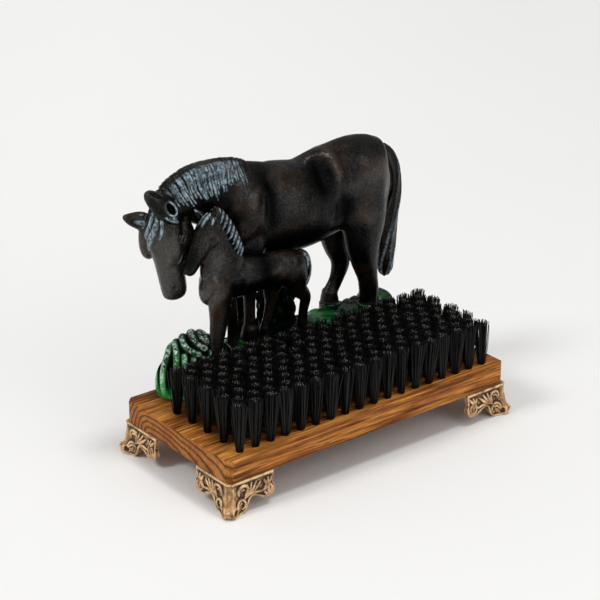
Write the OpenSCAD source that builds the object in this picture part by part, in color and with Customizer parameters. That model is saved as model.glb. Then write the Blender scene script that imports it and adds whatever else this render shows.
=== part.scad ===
// Boot brush: a wooden brush board on four cast feet, with a cast mare and foal on turf along its back edge.
// Millimetres. The origin is on the ground under the board's centre: X along the board, Y to the back, Z up.

/* [Board] */
// Length of the brush board along X
board_length = 272; // [266:1:300]
// Depth of the brush board along Y
board_width = 132; // [130:1:150]
// Thickness of the brush board
board_thickness = 18; // [15:0.5:24]
// Cut across each corner of the board
corner_cut = 4.5; // [2:0.5:7]

/* [Feet] */
// Height of a foot, from the ground to the underside of the board
foot_height = 26.5; // [25:0.5:34]
// Reach of each wing of a foot along the board's edge
wing_length = 40; // [38:0.5:44]
// Height of a wing at its outer end
wing_drop = 19.5; // [17:0.5:22]
// Thickness of the cast wings
wing_thickness = 4; // [3.5:0.25:5]
// Thickness of the plate under the board
plate_thickness = 2.5; // [2.5:0.25:3.5]
// How far the lip of a toe stands out past the sides of the board
toe_flare = 4.8; // [4.4:0.1:5.5]
// Shank diameter of the wood screws in the feet
screw_diameter = 3.5; // [3:0.25:4]

/* [Brush] */
// Distance of the first and last tuft of a row from the board's ends
end_margin = 17; // [17:0.5:22]
// Tufts in the first row and in every second row after it; the rows between have one less
tufts_per_row = 18; // [16:1:18]
// Distance of the first row from the front edge
front_margin = 9.6; // [9:0.2:10]
// Length of the bristles above the board
bristle_length = 38; // [30:1:44]
// Diameter of the holes that the tufts are drawn into
tuft_hole = 4.5; // [4:0.25:5]
// Distance of a strand from the middle of its tuft at the tip
tuft_spread = 3.2; // [2.6:0.1:3.6]
// Thickness of one strand
strand = 1.2; // [0.9:0.1:1.3]
// Depth of the drawing strip let into the underside
strip_depth = 3; // [2:0.25:4]

/* [Figure] */
// Distance of the mare's mid-plane from the back edge of the board
mare_inset = 17; // [16:0.5:18]
// Height of the turf at the hooves, above the board
turf_height = 31; // [29:0.5:34]
// Diameter of the bolts that hold the turf to the board
bolt_diameter = 5; // [4:0.5:5]
// Diameter of the pegs under the mare's hooves
mare_peg = 5; // [4:0.25:6]
// Diameter of the pegs under the foal's hooves
foal_peg = 3.5; // [3:0.25:4]
// Length of the hoof pegs
peg_length = 7; // [5:0.5:9]

/* [Hidden] */
$fn = 32;
fit = 0.1;
deck = foot_height + board_thickness;
hoof_level = deck + turf_height;
mare_y = board_width / 2 - mare_inset;
// The foal stands in front of the mare's shoulder.
foal_y = mare_y - 17;
row_count = 9;
// The figure takes this much of the board's depth, counted from the back edge to the last row of tufts.
figure_strip = 44.4;
tuft_pitch = (board_length - 2 * end_margin) / (tufts_per_row - 1);
row_step = (board_width - front_margin - figure_strip) / (row_count - 1);
blade_rise = turf_height - 3;
tall_blade = blade_rise + 12;
strands_per_tuft = 3;
strip_width = 5;
strip_overhang = 3.5;
wing_proud = 0.5;
scroll_rise = 1.3;
plate_width = 13;
screw_inset = 7;
screw_length = 14;
screw_head = 6.5;
screw_places = [23, 33];
washer_thickness = 1;
washer_diameter = 10;
bolt_head = 8;
bolt_head_height = 4.5;
bolt_grip = 16;
counterbore = 11;
counterbore_depth = 6.5;
bolt_places = [-78, 0, 82];
board_finish = [0.63, 0.40, 0.20];
bronze = [0.45, 0.33, 0.19];
iron_black = [0.09, 0.09, 0.10];
turf_green = [0.05, 0.30, 0.13];
bristle_black = [0.05, 0.05, 0.05];
steel = [0.60, 0.60, 0.62];

// Smooth curves through hand-chosen stations.
// A station is [x, y, z, half width across, half depth in the plane of the path].
function at(list, i) = list[max(0, min(len(list) - 1, i))];
function curve(a, b, c, d, t) =
    b + 0.5 * t * ((c - a) + t * ((2 * a - 5 * b + 4 * c - d) + t * (3 * (b - c) + d - a)));
function smooth(list, steps) = concat(
    [for (i = [0 : len(list) - 2]) for (k = [0 : steps - 1])
        curve(at(list, i - 1), list[i], list[i + 1], at(list, i + 2), k / steps)],
    [list[len(list) - 1]]);
function place(s) = [s[0], s[1], s[2]];
function unit(v) = v / norm(v);
function heading(path, i) = unit(place(at(path, i + 1)) - place(at(path, i - 1)));
function ring(path, i, sides, across) =
    let (t = heading(path, i), u = unit(across - (across * t) * t), v = cross(t, u))
    [for (k = [0 : sides - 1])
        place(path[i]) + path[i][3] * cos(360 * k / sides) * u + path[i][4] * sin(360 * k / sides) * v];
function tube_faces(rings, sides) = concat(
    [for (i = [0 : rings - 2]) for (k = [0 : sides - 1])
        let (a = i * sides + k, b = i * sides + (k + 1) % sides)
        each [[a, b + sides, b], [a, a + sides, b + sides]]],
    [[for (k = [0 : sides - 1]) k], [for (k = [sides - 1 : -1 : 0]) (rings - 1) * sides + k]]);

module loft(stations, steps, sides, across = [0, 1, 0], grow = 0) {
    path = [for (s = smooth(stations, steps)) s + [0, 0, 0, grow, grow]];
    points = [for (i = [0 : len(path) - 1]) each ring(path, i, sides, across)];
    polyhedron(points, tube_faces(len(path), sides));
}

module hoof(spot, bottom, top, height) {
    translate([spot[0], spot[1], 0])
        cylinder(h = height, r1 = bottom, r2 = top, $fn = 14);
}

// Board
module board_blank() {
    across = board_length / 2;
    deep = board_width / 2;
    translate([0, 0, foot_height])
        linear_extrude(board_thickness)
            polygon([[across - corner_cut, deep], [across, deep - corner_cut],
                [across, corner_cut - deep], [across - corner_cut, -deep],
                [corner_cut - across, -deep], [-across, corner_cut - deep],
                [-across, deep - corner_cut], [corner_cut - across, deep]]);
}

function tufts_in(row) = tufts_per_row - row % 2;
function tuft_x(row, i) = (i - (tufts_in(row) - 1) / 2) * tuft_pitch;
function tuft_y(row) = -board_width / 2 + front_margin + row * row_step;

module row_strip(row, gap) {
    long = (tufts_in(row) - 1) * tuft_pitch + 2 * strip_overhang;
    translate([-long / 2 - gap, tuft_y(row) - strip_width / 2 - gap, foot_height])
        cube([long + 2 * gap, strip_width + 2 * gap, strip_depth]);
}

module base_board() color(board_finish) difference() {
    board_blank();
    for (row = [0 : row_count - 1]) {
        row_strip(row, fit);
        for (i = [0 : tufts_in(row) - 1])
            translate([tuft_x(row, i), tuft_y(row), foot_height - 1])
                cylinder(h = board_thickness + 2, d = tuft_hole);
    }
    for (x = bolt_places) translate([x, mare_y, foot_height - 1]) {
        cylinder(h = board_thickness + 2, d = bolt_diameter + 0.5);
        cylinder(h = counterbore_depth + 1, d = counterbore);
    }
    each_corner() for (y = screw_places)
        translate([screw_inset, y, foot_height - 1])
            cylinder(h = screw_length + 1, d = screw_diameter);
}

// Feet: each is drawn at a corner whose two wings run along +X and +Y.
module each_corner() {
    for (sx = [0, 1]) for (sy = [0, 1]) corner(sx, sy) children();
}

module corner(sx, sy) {
    mirror([sx, 0, 0]) mirror([0, sy, 0]) translate([-board_length / 2, -board_width / 2, 0]) children();
}

// The wing's lower edge rises from the toe to a low arch and comes down again to a round lobe.
module wing_outline() {
    low = foot_height - wing_drop;
    lobe = 5.5;
    polygon([[corner_cut, 0.8], [11.6, 0.8], [14.2, low - 4], [15.8, low - 1], [17, low + 2.4],
        [18.6, low + 4.4], [20.6, low + 5.2], [wing_length - 15, low + 3.6], [wing_length - 10, low + 0.9],
        [wing_length - lobe, low], [wing_length - 1.2, low + 10], [wing_length - 0.2, foot_height - 4],
        [wing_length, foot_height], [corner_cut, foot_height]]);
    translate([wing_length - lobe, low + lobe]) circle(r = lobe);
}

module scroll(across, up, size) {
    translate([across, up, -1]) difference() {
        cylinder(h = 1 + scroll_rise, r = size);
        translate([0, 0, 1.2]) cylinder(h = scroll_rise, r = size - 1.4);
    }
    translate([across, up, 0]) cylinder(h = scroll_rise - 0.2, r = 1.3, $fn = 20);
}

module wing_relief() {
    low = foot_height - wing_drop;
    translate([0, -wing_proud, 0]) rotate([90, 0, 0]) {
        scroll(wing_length - 5.5, low + 5.5, 4.2);
        translate([corner_cut + 1, foot_height - 1.6, -1]) cube([wing_length - corner_cut - 2, 1.2, 1.6]);
    }
}

module wing() {
    translate([0, wing_thickness - wing_proud, 0]) rotate([90, 0, 0])
        linear_extrude(wing_thickness) wing_outline();
    wing_relief();
}

// The toe swings out at the corner to a lip and turns in again to a pad on the ground.
// A station is [height, how far it stands out past the board, reach along a wing, width of the cut corner].
toe_stations = [[0, toe_flare - 1.6, 11.5, 5], [1.5, toe_flare - 0.5, 13, 5.2],
    [3.5, toe_flare, 14.3, 5.2], [5.5, toe_flare, 15.2, 5.2], [7.5, toe_flare - 0.5, 15.8, 5],
    [9.5, toe_flare - 1.6, 16, 4.8], [12, 2.3, 16, 4.6], [16, 1.4, 15.5, corner_cut],
    [foot_height, 0.9, 14, corner_cut + 0.2]];
toe_sink = 0.6;
function toe_side(s) = [for (i = [0 : 6]) let (t = i / 6)
    [-s[1] + s[3] + (s[2] + s[1] - s[3]) * t, toe_sink - (s[1] + toe_sink) * pow(1 - t, 1.2), s[0]]];
function toe_ring(s) = let (side = toe_side(s), nose = -s[1] + s[3] / 2 - 0.6)
    concat(side, [[s[2], 5, s[0]], [5, s[2], s[0]]],
        [for (i = [6 : -1 : 0]) [side[i][1], side[i][0], side[i][2]]], [[nose, nose, s[0]]]);

module toe() {
    points = [for (s = toe_stations) each toe_ring(s)];
    polyhedron(points, tube_faces(len(toe_stations), 17));
}

module foot() difference() {
    union() {
        toe();
        wing();
        mirror([1, -1, 0]) wing();
        translate([0, 0, foot_height - plate_thickness]) {
            cube([wing_length - 4, plate_width, plate_thickness]);
            cube([plate_width, wing_length - 2, plate_thickness]);
        }
    }
    for (y = screw_places) translate([screw_inset, y, 0]) {
        translate([0, 0, foot_height - plate_thickness - 1])
            cylinder(h = plate_thickness + 2, d = screw_diameter + 0.4);
    }
}

module foot_front_left() color(bronze) corner(0, 0) foot();
module foot_front_right() color(bronze) corner(1, 0) foot();
module foot_rear_left() color(bronze) corner(0, 1) foot();
module foot_rear_right() color(bronze) corner(1, 1) foot();

module foot_screws() color(steel) each_corner() for (y = screw_places)
    translate([screw_inset, y, foot_height - plate_thickness]) {
        translate([0, 0, -2]) cylinder(h = 2, d = screw_head);
        cylinder(h = plate_thickness + screw_length - 1, d = screw_diameter);
    }

// Bristles: each row is drawn through the board on one strip.
module tuft_strands(row, i) {
    root = foot_height + strip_depth - 0.5;
    high = deck + bristle_length - root;
    in = tuft_hole / 2 - strand;
    lean = atan((tuft_spread - in) / high);
    for (k = [0 : strands_per_tuft - 1])
        translate([tuft_x(row, i), tuft_y(row), root])
            rotate([0, 0, 120 * k + 37 * i + 71 * row])
                translate([in * 0.6, 0, 0]) rotate([0, lean, 0])
                    cylinder(h = high / cos(lean), d = strand, $fn = 4);
}

module tuft_row(row) color(bristle_black) {
    row_strip(row, 0);
    for (i = [0 : tufts_in(row) - 1]) tuft_strands(row, i);
}

// Turf stations: [x, middle, half depth, height above the board], with Y counted from the mare's mid-plane.
turf_stations = [
    [-114, 3, 5, 9], [-110, 2, 9, 26], [-101, -1, 14, 40], [-84, -4, 17, 47], [-66, -5, 18, 36],
    [-44, -5, 18.3, 30], [-12, -5, 18.3, 31], [4, -4, 18.3, 32], [22, -4, 18, 30],
    [50, -3, 17.5, 29.5], [80, -3, 17.5, 30],
    [100, -1, 15.5, 34], [111, 0, 11, 29], [117, 1, 6, 10]];
turf_arc = 14;
mare_pad = 8.5;
foal_pad = 4.8;
blade_clearance = 0.8;

module turf_mound() {
    path = smooth(turf_stations, 2);
    points = [for (s = path) for (k = [0 : turf_arc - 1])
        let (a = 180 * k / (turf_arc - 1), c = cos(a))
        [s[0], mare_y + s[1] + s[2] * sign(c) * pow(abs(c), 0.6), deck + s[3] * pow(max(sin(a), 0), 0.6)]];
    polyhedron(points, tube_faces(len(path), turf_arc));
}

// A blade rises at the mound's foot, bends over its shoulder and ends above it.
module blade(x, side, rise, sway, tip) {
    edge = side * 15.5 - 2;
    translate([x, mare_y, deck])
        loft([[0, edge + side * 1.5, 0.5, 2.6, 2.4], [sway * 0.2, edge + side * 2, rise * 0.5, 3.6, 2.6],
            [sway * 0.6, edge, rise * 0.85, 3.2, 2.2], [sway, edge - side * 4, rise + tip, 0.5, 0.5]],
            2, 6, [1, 0, 0]);
}

// Blades keep clear of the hooves, which stand on bare pads.
function clear_of(x, list) = min([for (v = list) abs(x - v)]) > 11;

module turf_blades() {
    for (i = [0 : 15]) let (x = -92 + 12 * i)
        if (clear_of(x, [for (h = concat(foal_hooves, mare_hooves)) h[0]]))
            blade(x, -1, i == 0 ? tall_blade : blade_rise, i % 2 == 0 ? 5 : -4, 2 + 2 * ((i * 7) % 3));
    for (i = [0 : 13]) let (x = -88 + 14 * i)
        if (clear_of(x, [for (h = mare_hooves) h[0]]))
            blade(x, 1, i == 0 ? tall_blade : blade_rise, i % 2 == 0 ? -5 : 4, 2 + 2 * ((i * 5) % 3));
}

// The bush behind the foal fills the space under the mare's chest.
module turf_bush() {
    translate([0, mare_y, deck])
        loft([[-2, 3, 20, 9, 17], [-2, 3, 42, 8.5, 16.5], [-2, 3, 58, 7.5, 15.5], [-1, 3, 68, 5.5, 12],
            [-1, 3, 73, 2.5, 6]], 2, 10);
}

module turf() color(turf_green) difference() {
    union() {
        turf_mound();
        turf_blades();
        turf_bush();
        for (spot = mare_hooves) translate([spot[0], mare_y + spot[1], deck])
            cylinder(h = turf_height, r = mare_pad);
        for (spot = foal_hooves) translate([spot[0], foal_y + spot[1], deck])
            cylinder(h = turf_height, r = foal_pad);
    }
    translate([0, mare_y, hoof_level]) {
        for (spot = mare_hooves) hoof(spot, mare_pad + 1.5, mare_pad + 1.5, 40);
        mare_legs(blade_clearance);
    }
    translate([0, foal_y, hoof_level]) {
        for (spot = foal_hooves) hoof(spot, foal_pad + 0.7, foal_pad + 0.7, 30);
        foal_legs(blade_clearance);
    }
    for (spot = mare_hooves) translate([spot[0], mare_y + spot[1], hoof_level - peg_length])
        cylinder(h = peg_length + 1, d = mare_peg + 2 * fit);
    for (spot = foal_hooves) translate([spot[0], foal_y + spot[1], hoof_level - peg_length])
        cylinder(h = peg_length + 1, d = foal_peg + 2 * fit);
    for (x = bolt_places) translate([x, mare_y, deck - 1])
        cylinder(h = bolt_grip + 1, d = bolt_diameter + 2 * fit);
}

// Mare: X as on the board, Y from her mid-plane, Z from the hooves.
mare_hooves = [[82, -10], [58, 10], [-36, -8], [-35, 8]];

module mare_legs(grow = 0) {
    loft([[72, -8, 112, 11, 24], [75, -10, 92, 12, 25], [75, -11, 72, 11.5, 21.5], [75, -11, 55, 9.5, 17.5],
        [77, -10.5, 42, 8, 14], [79, -10, 32, 7, 11.5], [81, -10, 23, 6.5, 9.5], [82.5, -10, 13, 6.5, 9],
        [82.5, -10, 8, 6.5, 9], [82.5, -10, 4, 6.5, 8.5]], 2, 12, grow = grow);
    loft([[68, 8, 108, 11, 22], [66, 10, 88, 11, 22], [63, 11, 68, 10, 17], [64, 11, 50, 8, 11.5],
        [69, 10.5, 37, 6.5, 9.5], [69, 10, 29, 6, 8.5], [65, 10, 18, 5, 6.5], [60, 10, 10, 5, 6.5],
        [58, 10, 4, 6, 7]], 2, 12, grow = grow);
    for (side = [-1, 1]) let (x = side < 0 ? -36 : -35)
        loft([[-36, side * 7, 108, 10, 18], [-38, side * 9, 86, 10, 15], [-37, side * 9, 68, 8, 10.5],
            [x, side * 8, 52, 5.5, 7], [x, side * 8, 40, 5.5, 6.5], [x, side * 8, 32, 4.5, 5.2],
            [x, side * 8, 16, 4.3, 5], [x, side * 8, 8, 5.2, 6], [x, side * 8, 4, 5.5, 6.5]],
            2, 12, grow = grow);
}

module mare_trunk() {
    loft([[-60, 0, 97, 5, 9], [-54, 0, 98, 14, 24], [-38, 0, 100, 18.5, 35], [-14, 0, 99.5, 20, 37.5],
        [15, 0, 96, 21, 37], [42, 0, 100.7, 21, 37.6], [68, 0, 108, 20.5, 33], [86, 0, 106, 19, 31.5],
        [98, 0, 104, 14, 26], [105, 0, 105, 5, 12]], 3, 18);
    loft([[-20, 0, 112, 15, 26], [-45, 0, 117, 15, 27], [-68, 0, 123, 12.5, 24.5], [-86, 0, 126, 11, 20],
        [-99, 0, 124, 10, 15], [-106, 0, 119, 7, 9]], 3, 16);
}

// The mare's head is turned a little to the front, towards the foal.
head_across = [-0.34, 0.94, 0];

module mare_head() {
    loft([[-105, 0, 129, 6, 6], [-106, 0, 123, 10, 12.5], [-107, -0.5, 109, 12.5, 15.5],
        [-106, -1, 95, 12, 16], [-104.5, -1.5, 82, 10.5, 13.5], [-103.3, -2, 69, 9.2, 11.8],
        [-101.6, -2, 59, 9, 11], [-100.6, -2, 53, 8.2, 10], [-100.3, -2, 50.2, 5.5, 7]], 2, 14, head_across);
    for (side = [-1, 1]) translate([-109, -2, 0] + (side > 0 ? 14 : 10.5) * side * head_across)
        loft([[1, 0, 112, 4, 5], [0, 0, 104, 6, 8], [0, 0, 94, 6.5, 9], [1, 0, 86, 5.5, 8],
            [3, 0, 81, 2, 4]], 2, 10, head_across);
    loft([[-106, -11, 117, 5, 6], [-112, -11, 124, 7, 8.5], [-120, -10, 132, 6, 7.5],
        [-126, -9, 138, 4, 4.5], [-128, -9, 140, 1.5, 1.5]], 3, 10, head_across);
    loft([[-112, 9, 108, 4, 5], [-118, 13, 110, 5.5, 7], [-125, 17, 112, 4.2, 5], [-130, 20, 114, 1.5, 1.5]],
        3, 10, head_across);
}

module mare_mane() {
    loft([[-24, 0, 133, 3, 4], [-45, -2, 141, 6, 6], [-68, -3, 144, 8, 6], [-86, -3, 143, 8, 6],
        [-100, -2, 137, 7, 6], [-110, -1, 128, 6, 6], [-118, -1, 118, 4, 4]], 3, 10);
}

module mare_tail() {
    loft([[101, 0, 124.5, 4, 5], [108, 0, 116, 5, 7], [113, 0, 103, 5.5, 7.5], [114, 0, 85, 6, 8],
        [111, 0, 66, 6.5, 8.5], [108.5, 0, 46, 6.5, 9.2], [108, 0, 30, 6, 9], [108.8, 0, 19, 4.5, 6.8],
        [109.5, 0, 13.5, 1.5, 2.5]], 2, 12);
}

module mare() color(iron_black) translate([0, mare_y, hoof_level]) {
    mare_trunk();
    mare_legs();
    mare_head();
    mare_mane();
    mare_tail();
    for (spot = mare_hooves) {
        hoof(spot, 8, 6, 11);
        translate([spot[0], spot[1], -peg_length]) cylinder(h = peg_length + 4, d = mare_peg);
    }
}

// Foal: X as on the board, Y from its mid-plane, Z from the hooves.
foal_hooves = [[-76, -2], [-55, 6], [7, -2], [-24, 6]];

module foal_legs(grow = 0) {
    loft([[-72, -4, 58, 6, 12], [-74, -5, 44, 6, 10], [-74.5, -4, 33, 5.4, 8], [-74.3, -3, 25, 5, 7.4],
        [-75, -2, 14, 4.4, 6.2], [-76, -2, 6, 4, 5]], 2, 10, grow = grow);
    loft([[-66, 4, 58, 5, 11], [-62, 5, 44, 5, 8.5], [-57, 5, 33, 4.2, 5.6], [-55, 6, 25, 4, 4.8],
        [-55, 6, 14, 3.6, 4.2], [-55, 6, 6, 3.6, 4.2]], 2, 10, grow = grow);
    loft([[-4, -4, 58, 6, 11], [-2, -5, 46, 6, 11], [2, -4, 36, 4.8, 7.5], [9, -3, 27, 4, 5],
        [8, -2, 16, 3.5, 4], [7, -2, 6, 3.6, 4.2]], 2, 10, grow = grow);
    loft([[-10, 4, 58, 6, 11], [-14, 5, 46, 6, 11], [-18, 5, 36, 4.5, 7], [-18, 6, 27, 3.8, 5],
        [-21, 6, 16, 3.3, 3.8], [-24, 6, 6, 3.4, 4]], 2, 10, grow = grow);
}

module foal_body() {
    loft([[-87.5, 0, 57, 3, 6.5], [-82, 0, 57, 8.5, 14.5], [-66, 0, 59, 9.5, 17], [-48, 0, 59, 10, 16],
        [-28, 0, 57, 10, 14.5], [-10, 0, 56, 9.5, 14.5], [3, 0, 54, 8, 12.5], [9, 0, 54, 4, 7]], 2, 14);
    loft([[-63, 0, 59, 9.5, 19.5], [-68.5, 0, 73, 8.5, 19.5], [-71.5, 0, 85, 7.4, 14.5],
        [-73.5, 0, 97, 6.4, 11.2], [-76, 0, 108, 5.2, 8], [-77, 0, 114, 3, 4]], 3, 12);
    loft([[-74, 0, 113, 4, 4.5], [-77, 0, 108, 6, 8], [-83, 0, 99, 6.3, 9], [-89, 0, 89, 5.2, 7.2],
        [-95, 0, 80, 4.6, 5.8], [-98.5, 0, 74.5, 4.2, 4.8], [-100, 0, 72, 2, 2.6]], 2, 12);
    for (side = [-1, 1])
        loft([[-76, side * 4, 110, 2.5, 3], [-78, side * 6, 117, 2.6, 3], [-80, side * 8, 123, 0.8, 0.8]],
            2, 8);
}

module foal_hair() {
    loft([[-80, -1, 112, 2, 2.5], [-72, -1, 115, 3, 4], [-63, -1, 104, 4, 4.5], [-56, -1, 90, 4.5, 4.5],
        [-50, -1, 78, 2, 3]], 2, 8);
    loft([[4, 0, 65, 2.5, 3], [10, 0, 60, 3.5, 4], [12, 0, 50, 4, 4.5], [11, 0, 40, 3, 4],
        [8, 0, 33, 1, 1.5]], 2, 8);
}

module foal() color(iron_black) difference() {
    translate([0, foal_y, hoof_level]) {
        foal_body();
        foal_hair();
        foal_legs();
        for (spot = foal_hooves) {
            hoof(spot, 4.4, 3.8, 8);
            translate([spot[0], spot[1], -peg_length]) cylinder(h = peg_length + 4, d = foal_peg);
        }
    }
    translate([0, mare_y, hoof_level]) {
        mare_trunk();
        mare_legs();
        mare_head();
    }
}

// Fixings under the board
module figure_washers() color(steel)
    for (x = bolt_places) translate([x, mare_y, foot_height + counterbore_depth - washer_thickness])
        difference() {
            cylinder(h = washer_thickness, d = washer_diameter);
            translate([0, 0, -1]) cylinder(h = washer_thickness + 2, d = bolt_diameter + 0.4);
        }

module figure_bolts() color(steel)
    for (x = bolt_places)
        translate([x, mare_y, foot_height + counterbore_depth - washer_thickness]) {
            translate([0, 0, -bolt_head_height]) difference() {
                cylinder(h = bolt_head_height, d = bolt_head);
                translate([0, 0, -1]) cylinder(h = bolt_head_height - 1.5, d = bolt_head / 2, $fn = 6);
            }
            cylinder(h = board_thickness - counterbore_depth + washer_thickness + bolt_grip - 1,
                d = bolt_diameter);
        }

base_board();
foot_front_left();
foot_front_right();
foot_rear_left();
foot_rear_right();
foot_screws();
tuft_row(0);  // tuft_row_1
tuft_row(1);  // tuft_row_2
tuft_row(2);  // tuft_row_3
tuft_row(3);  // tuft_row_4
tuft_row(4);  // tuft_row_5
tuft_row(5);  // tuft_row_6
tuft_row(6);  // tuft_row_7
tuft_row(7);  // tuft_row_8
tuft_row(8);  // tuft_row_9
turf();
mare();
foal();
figure_washers();
figure_bolts();
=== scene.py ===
"""Boot brush with a cast mare and foal: the looks built round the CAD frame."""

import math

import bpy
import bmesh
import numpy as np
from mathutils import Matrix, Vector
from mathutils.bvhtree import BVHTree
from mathutils.kdtree import KDTree


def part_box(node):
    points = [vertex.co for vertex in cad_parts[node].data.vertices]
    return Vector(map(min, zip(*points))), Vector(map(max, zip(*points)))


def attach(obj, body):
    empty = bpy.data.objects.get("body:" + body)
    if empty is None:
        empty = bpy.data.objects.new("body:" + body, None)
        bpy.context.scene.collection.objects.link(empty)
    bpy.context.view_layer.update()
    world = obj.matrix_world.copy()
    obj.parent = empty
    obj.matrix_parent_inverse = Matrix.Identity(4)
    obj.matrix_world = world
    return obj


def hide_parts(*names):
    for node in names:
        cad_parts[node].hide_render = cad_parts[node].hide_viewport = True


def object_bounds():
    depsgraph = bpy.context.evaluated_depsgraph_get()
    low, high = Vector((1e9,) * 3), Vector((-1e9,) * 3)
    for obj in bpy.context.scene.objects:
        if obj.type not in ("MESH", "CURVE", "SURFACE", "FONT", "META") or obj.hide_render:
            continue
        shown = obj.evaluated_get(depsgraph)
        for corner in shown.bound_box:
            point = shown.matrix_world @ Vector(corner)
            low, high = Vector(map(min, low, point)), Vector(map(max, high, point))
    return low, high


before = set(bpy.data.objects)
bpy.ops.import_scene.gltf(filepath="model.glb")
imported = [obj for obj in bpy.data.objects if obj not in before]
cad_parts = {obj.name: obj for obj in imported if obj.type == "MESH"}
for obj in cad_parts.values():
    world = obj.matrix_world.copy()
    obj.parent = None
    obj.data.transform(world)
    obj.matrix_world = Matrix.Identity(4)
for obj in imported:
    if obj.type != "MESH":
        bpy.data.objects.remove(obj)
cad_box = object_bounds()
scene = bpy.context.scene
rng = np.random.default_rng(7)

# All shapes are worked out in millimetres and become metres when a mesh is made.
MM = 0.001
board_low, board_high = (np.array(c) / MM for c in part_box("base_board"))
UNDERSIDE = board_low[2]
DECK = board_high[2]
BOARD_LENGTH = board_high[0] - board_low[0]
BOARD_WIDTH = board_high[1] - board_low[1]
CORNER_CUT = 4.5
TURF_HEIGHT = 31.0
HOOF = DECK + TURF_HEIGHT
# The mid-planes of the horses: the mare's from the back edge, the foal's in front of hers
MARE_Y = BOARD_WIDTH / 2 - 17
FOAL_Y = MARE_Y - 17


# Mesh helpers

def smooth_path(stations, steps):
    """A curve through the stations, with all their columns."""
    p = np.array(stations, float)
    out = []
    for i in range(len(p) - 1):
        a, b, c, d = p[max(i - 1, 0)], p[i], p[i + 1], p[min(i + 2, len(p) - 1)]
        for k in range(steps):
            t = k / steps
            out.append(b + 0.5 * t * ((c - a) + t * ((2 * a - 5 * b + 4 * c - d) + t * (3 * (b - c) + d - a))))
    out.append(p[-1])
    return np.array(out)


def tube_faces(rings, sides):
    i, k = np.meshgrid(np.arange(rings - 1), np.arange(sides), indexing="ij")
    a = i * sides + k
    b = i * sides + (k + 1) % sides
    quads = np.stack([a, b, b + sides, a + sides], -1).reshape(-1, 4).tolist()
    return quads + [list(range(sides))[::-1], [(rings - 1) * sides + j for j in range(sides)]]


def path_frame(centre, across):
    """Two axes square to a path at each of its points, the first as near to across as it can be."""
    t = np.gradient(centre, axis=0)
    t /= np.linalg.norm(t, axis=1)[:, None]
    a = np.array(across, float)
    u = a - (t @ a)[:, None] * t
    u /= np.linalg.norm(u, axis=1)[:, None]
    return u, np.cross(t, u)


def loft(stations, steps, sides, across=(0, 1, 0)):
    """A tube through stations [x, y, z, half width across, half depth in the plane of the path]."""
    path = smooth_path(stations, steps)
    size = np.maximum(path[:, 3:5], 0.05)
    c = path[:, :3]
    u, v = path_frame(c, across)
    ang = 2 * np.pi * np.arange(sides) / sides
    ring = (c[:, None] + size[:, 0, None, None] * np.cos(ang)[None, :, None] * u[:, None]
            + size[:, 1, None, None] * np.sin(ang)[None, :, None] * v[:, None])
    return ring.reshape(-1, 3), tube_faces(len(path), sides)


def round_outline(x, y, radius, sides):
    a = 2 * np.pi * np.arange(sides) / sides
    return [(x + radius * math.cos(t), y + radius * math.sin(t)) for t in a]


def prism(outline, low, high, top=None):
    """An upright solid over an outline, tapered if its top has another one."""
    v = [(x, y, low) for x, y in outline] + [(x, y, high) for x, y in top or outline]
    return np.array(v, float), tube_faces(2, len(outline))


def cylinder(x, y, radius, sides, low, high):
    return prism(round_outline(x, y, radius, sides), low, high)


def moved(part, offset):
    return part[0] + np.array(offset, float), part[1]


def join(parts):
    verts, faces, n = [], [], 0
    for v, f in parts:
        verts.append(v)
        faces += [[i + n for i in face] for face in f]
        n += len(v)
    return np.concatenate(verts), faces


def placed(name, data):
    obj = bpy.data.objects.new(name, data)
    scene.collection.objects.link(obj)
    return obj


def new_object(name, verts, faces):
    mesh = bpy.data.meshes.new(name)
    mesh.from_pydata((np.asarray(verts) * MM).tolist(), [], faces)
    mesh.update()
    return placed(name, mesh)


def apply_modifiers(obj):
    evaluated = obj.evaluated_get(bpy.context.evaluated_depsgraph_get())
    mesh = bpy.data.meshes.new_from_object(evaluated)
    old = obj.data
    obj.modifiers.clear()
    obj.data = mesh
    bpy.data.meshes.remove(old)


def skin(name, parts, voxel):
    """One closed skin over overlapping parts."""
    obj = new_object(name, *join(parts))
    mod = obj.modifiers.new("skin", "REMESH")
    mod.mode = "VOXEL"
    mod.voxel_size = voxel * MM
    mod.adaptivity = 0.0
    mod.use_smooth_shade = True
    apply_modifiers(obj)
    return obj


def fetch(items, key, kind, width):
    """One value of every item as rows of that width."""
    out = np.empty(len(items) * width, kind)
    items.foreach_get(key, out)
    return out.reshape(-1, width)


def coords(obj):
    return fetch(obj.data.vertices, "co", np.float32, 3).astype(float) / MM


def as_part(obj):
    """A remeshed skin, all quads, as loose vertices and faces."""
    corners = fetch(obj.data.loops, "vertex_index", np.int32, 1)
    return coords(obj), corners.reshape(-1, 4).tolist()


def set_coords(obj, co):
    obj.data.vertices.foreach_set("co", (co * MM).astype(np.float32).ravel())
    obj.data.update()


def normals(obj):
    return fetch(obj.data.vertex_normals, "vector", np.float32, 3).astype(float)


def relaxed(obj, co, rounds, factor=0.5):
    """Each round moves every point towards the mean of its neighbours."""
    a, b = fetch(obj.data.edges, "vertices", np.int32, 2).T
    n = len(co)
    count = np.maximum(np.bincount(a, minlength=n) + np.bincount(b, minlength=n), 1)[:, None]
    co = co.copy()
    for _ in range(rounds):
        total = np.stack([np.bincount(a, column[b], n) + np.bincount(b, column[a], n) for column in co.T], 1)
        co += factor * (total / count - co)
    return co


def eased(obj, co, weight, rounds):
    """Relaxed as far as each point's weight says."""
    return co + weight[:, None] * (relaxed(obj, co, rounds) - co)


def relief_of(obj, co, rounds):
    """How far each point stands out of its surroundings, in millimetres."""
    return np.einsum("ij,ij->i", co - relaxed(obj, co, rounds), normals(obj))


def step(low, high, value):
    """A soft step from 0 at low to 1 at high."""
    t = np.clip((value - low) / (high - low), 0, 1)
    return t * t * (3 - 2 * t)


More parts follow.
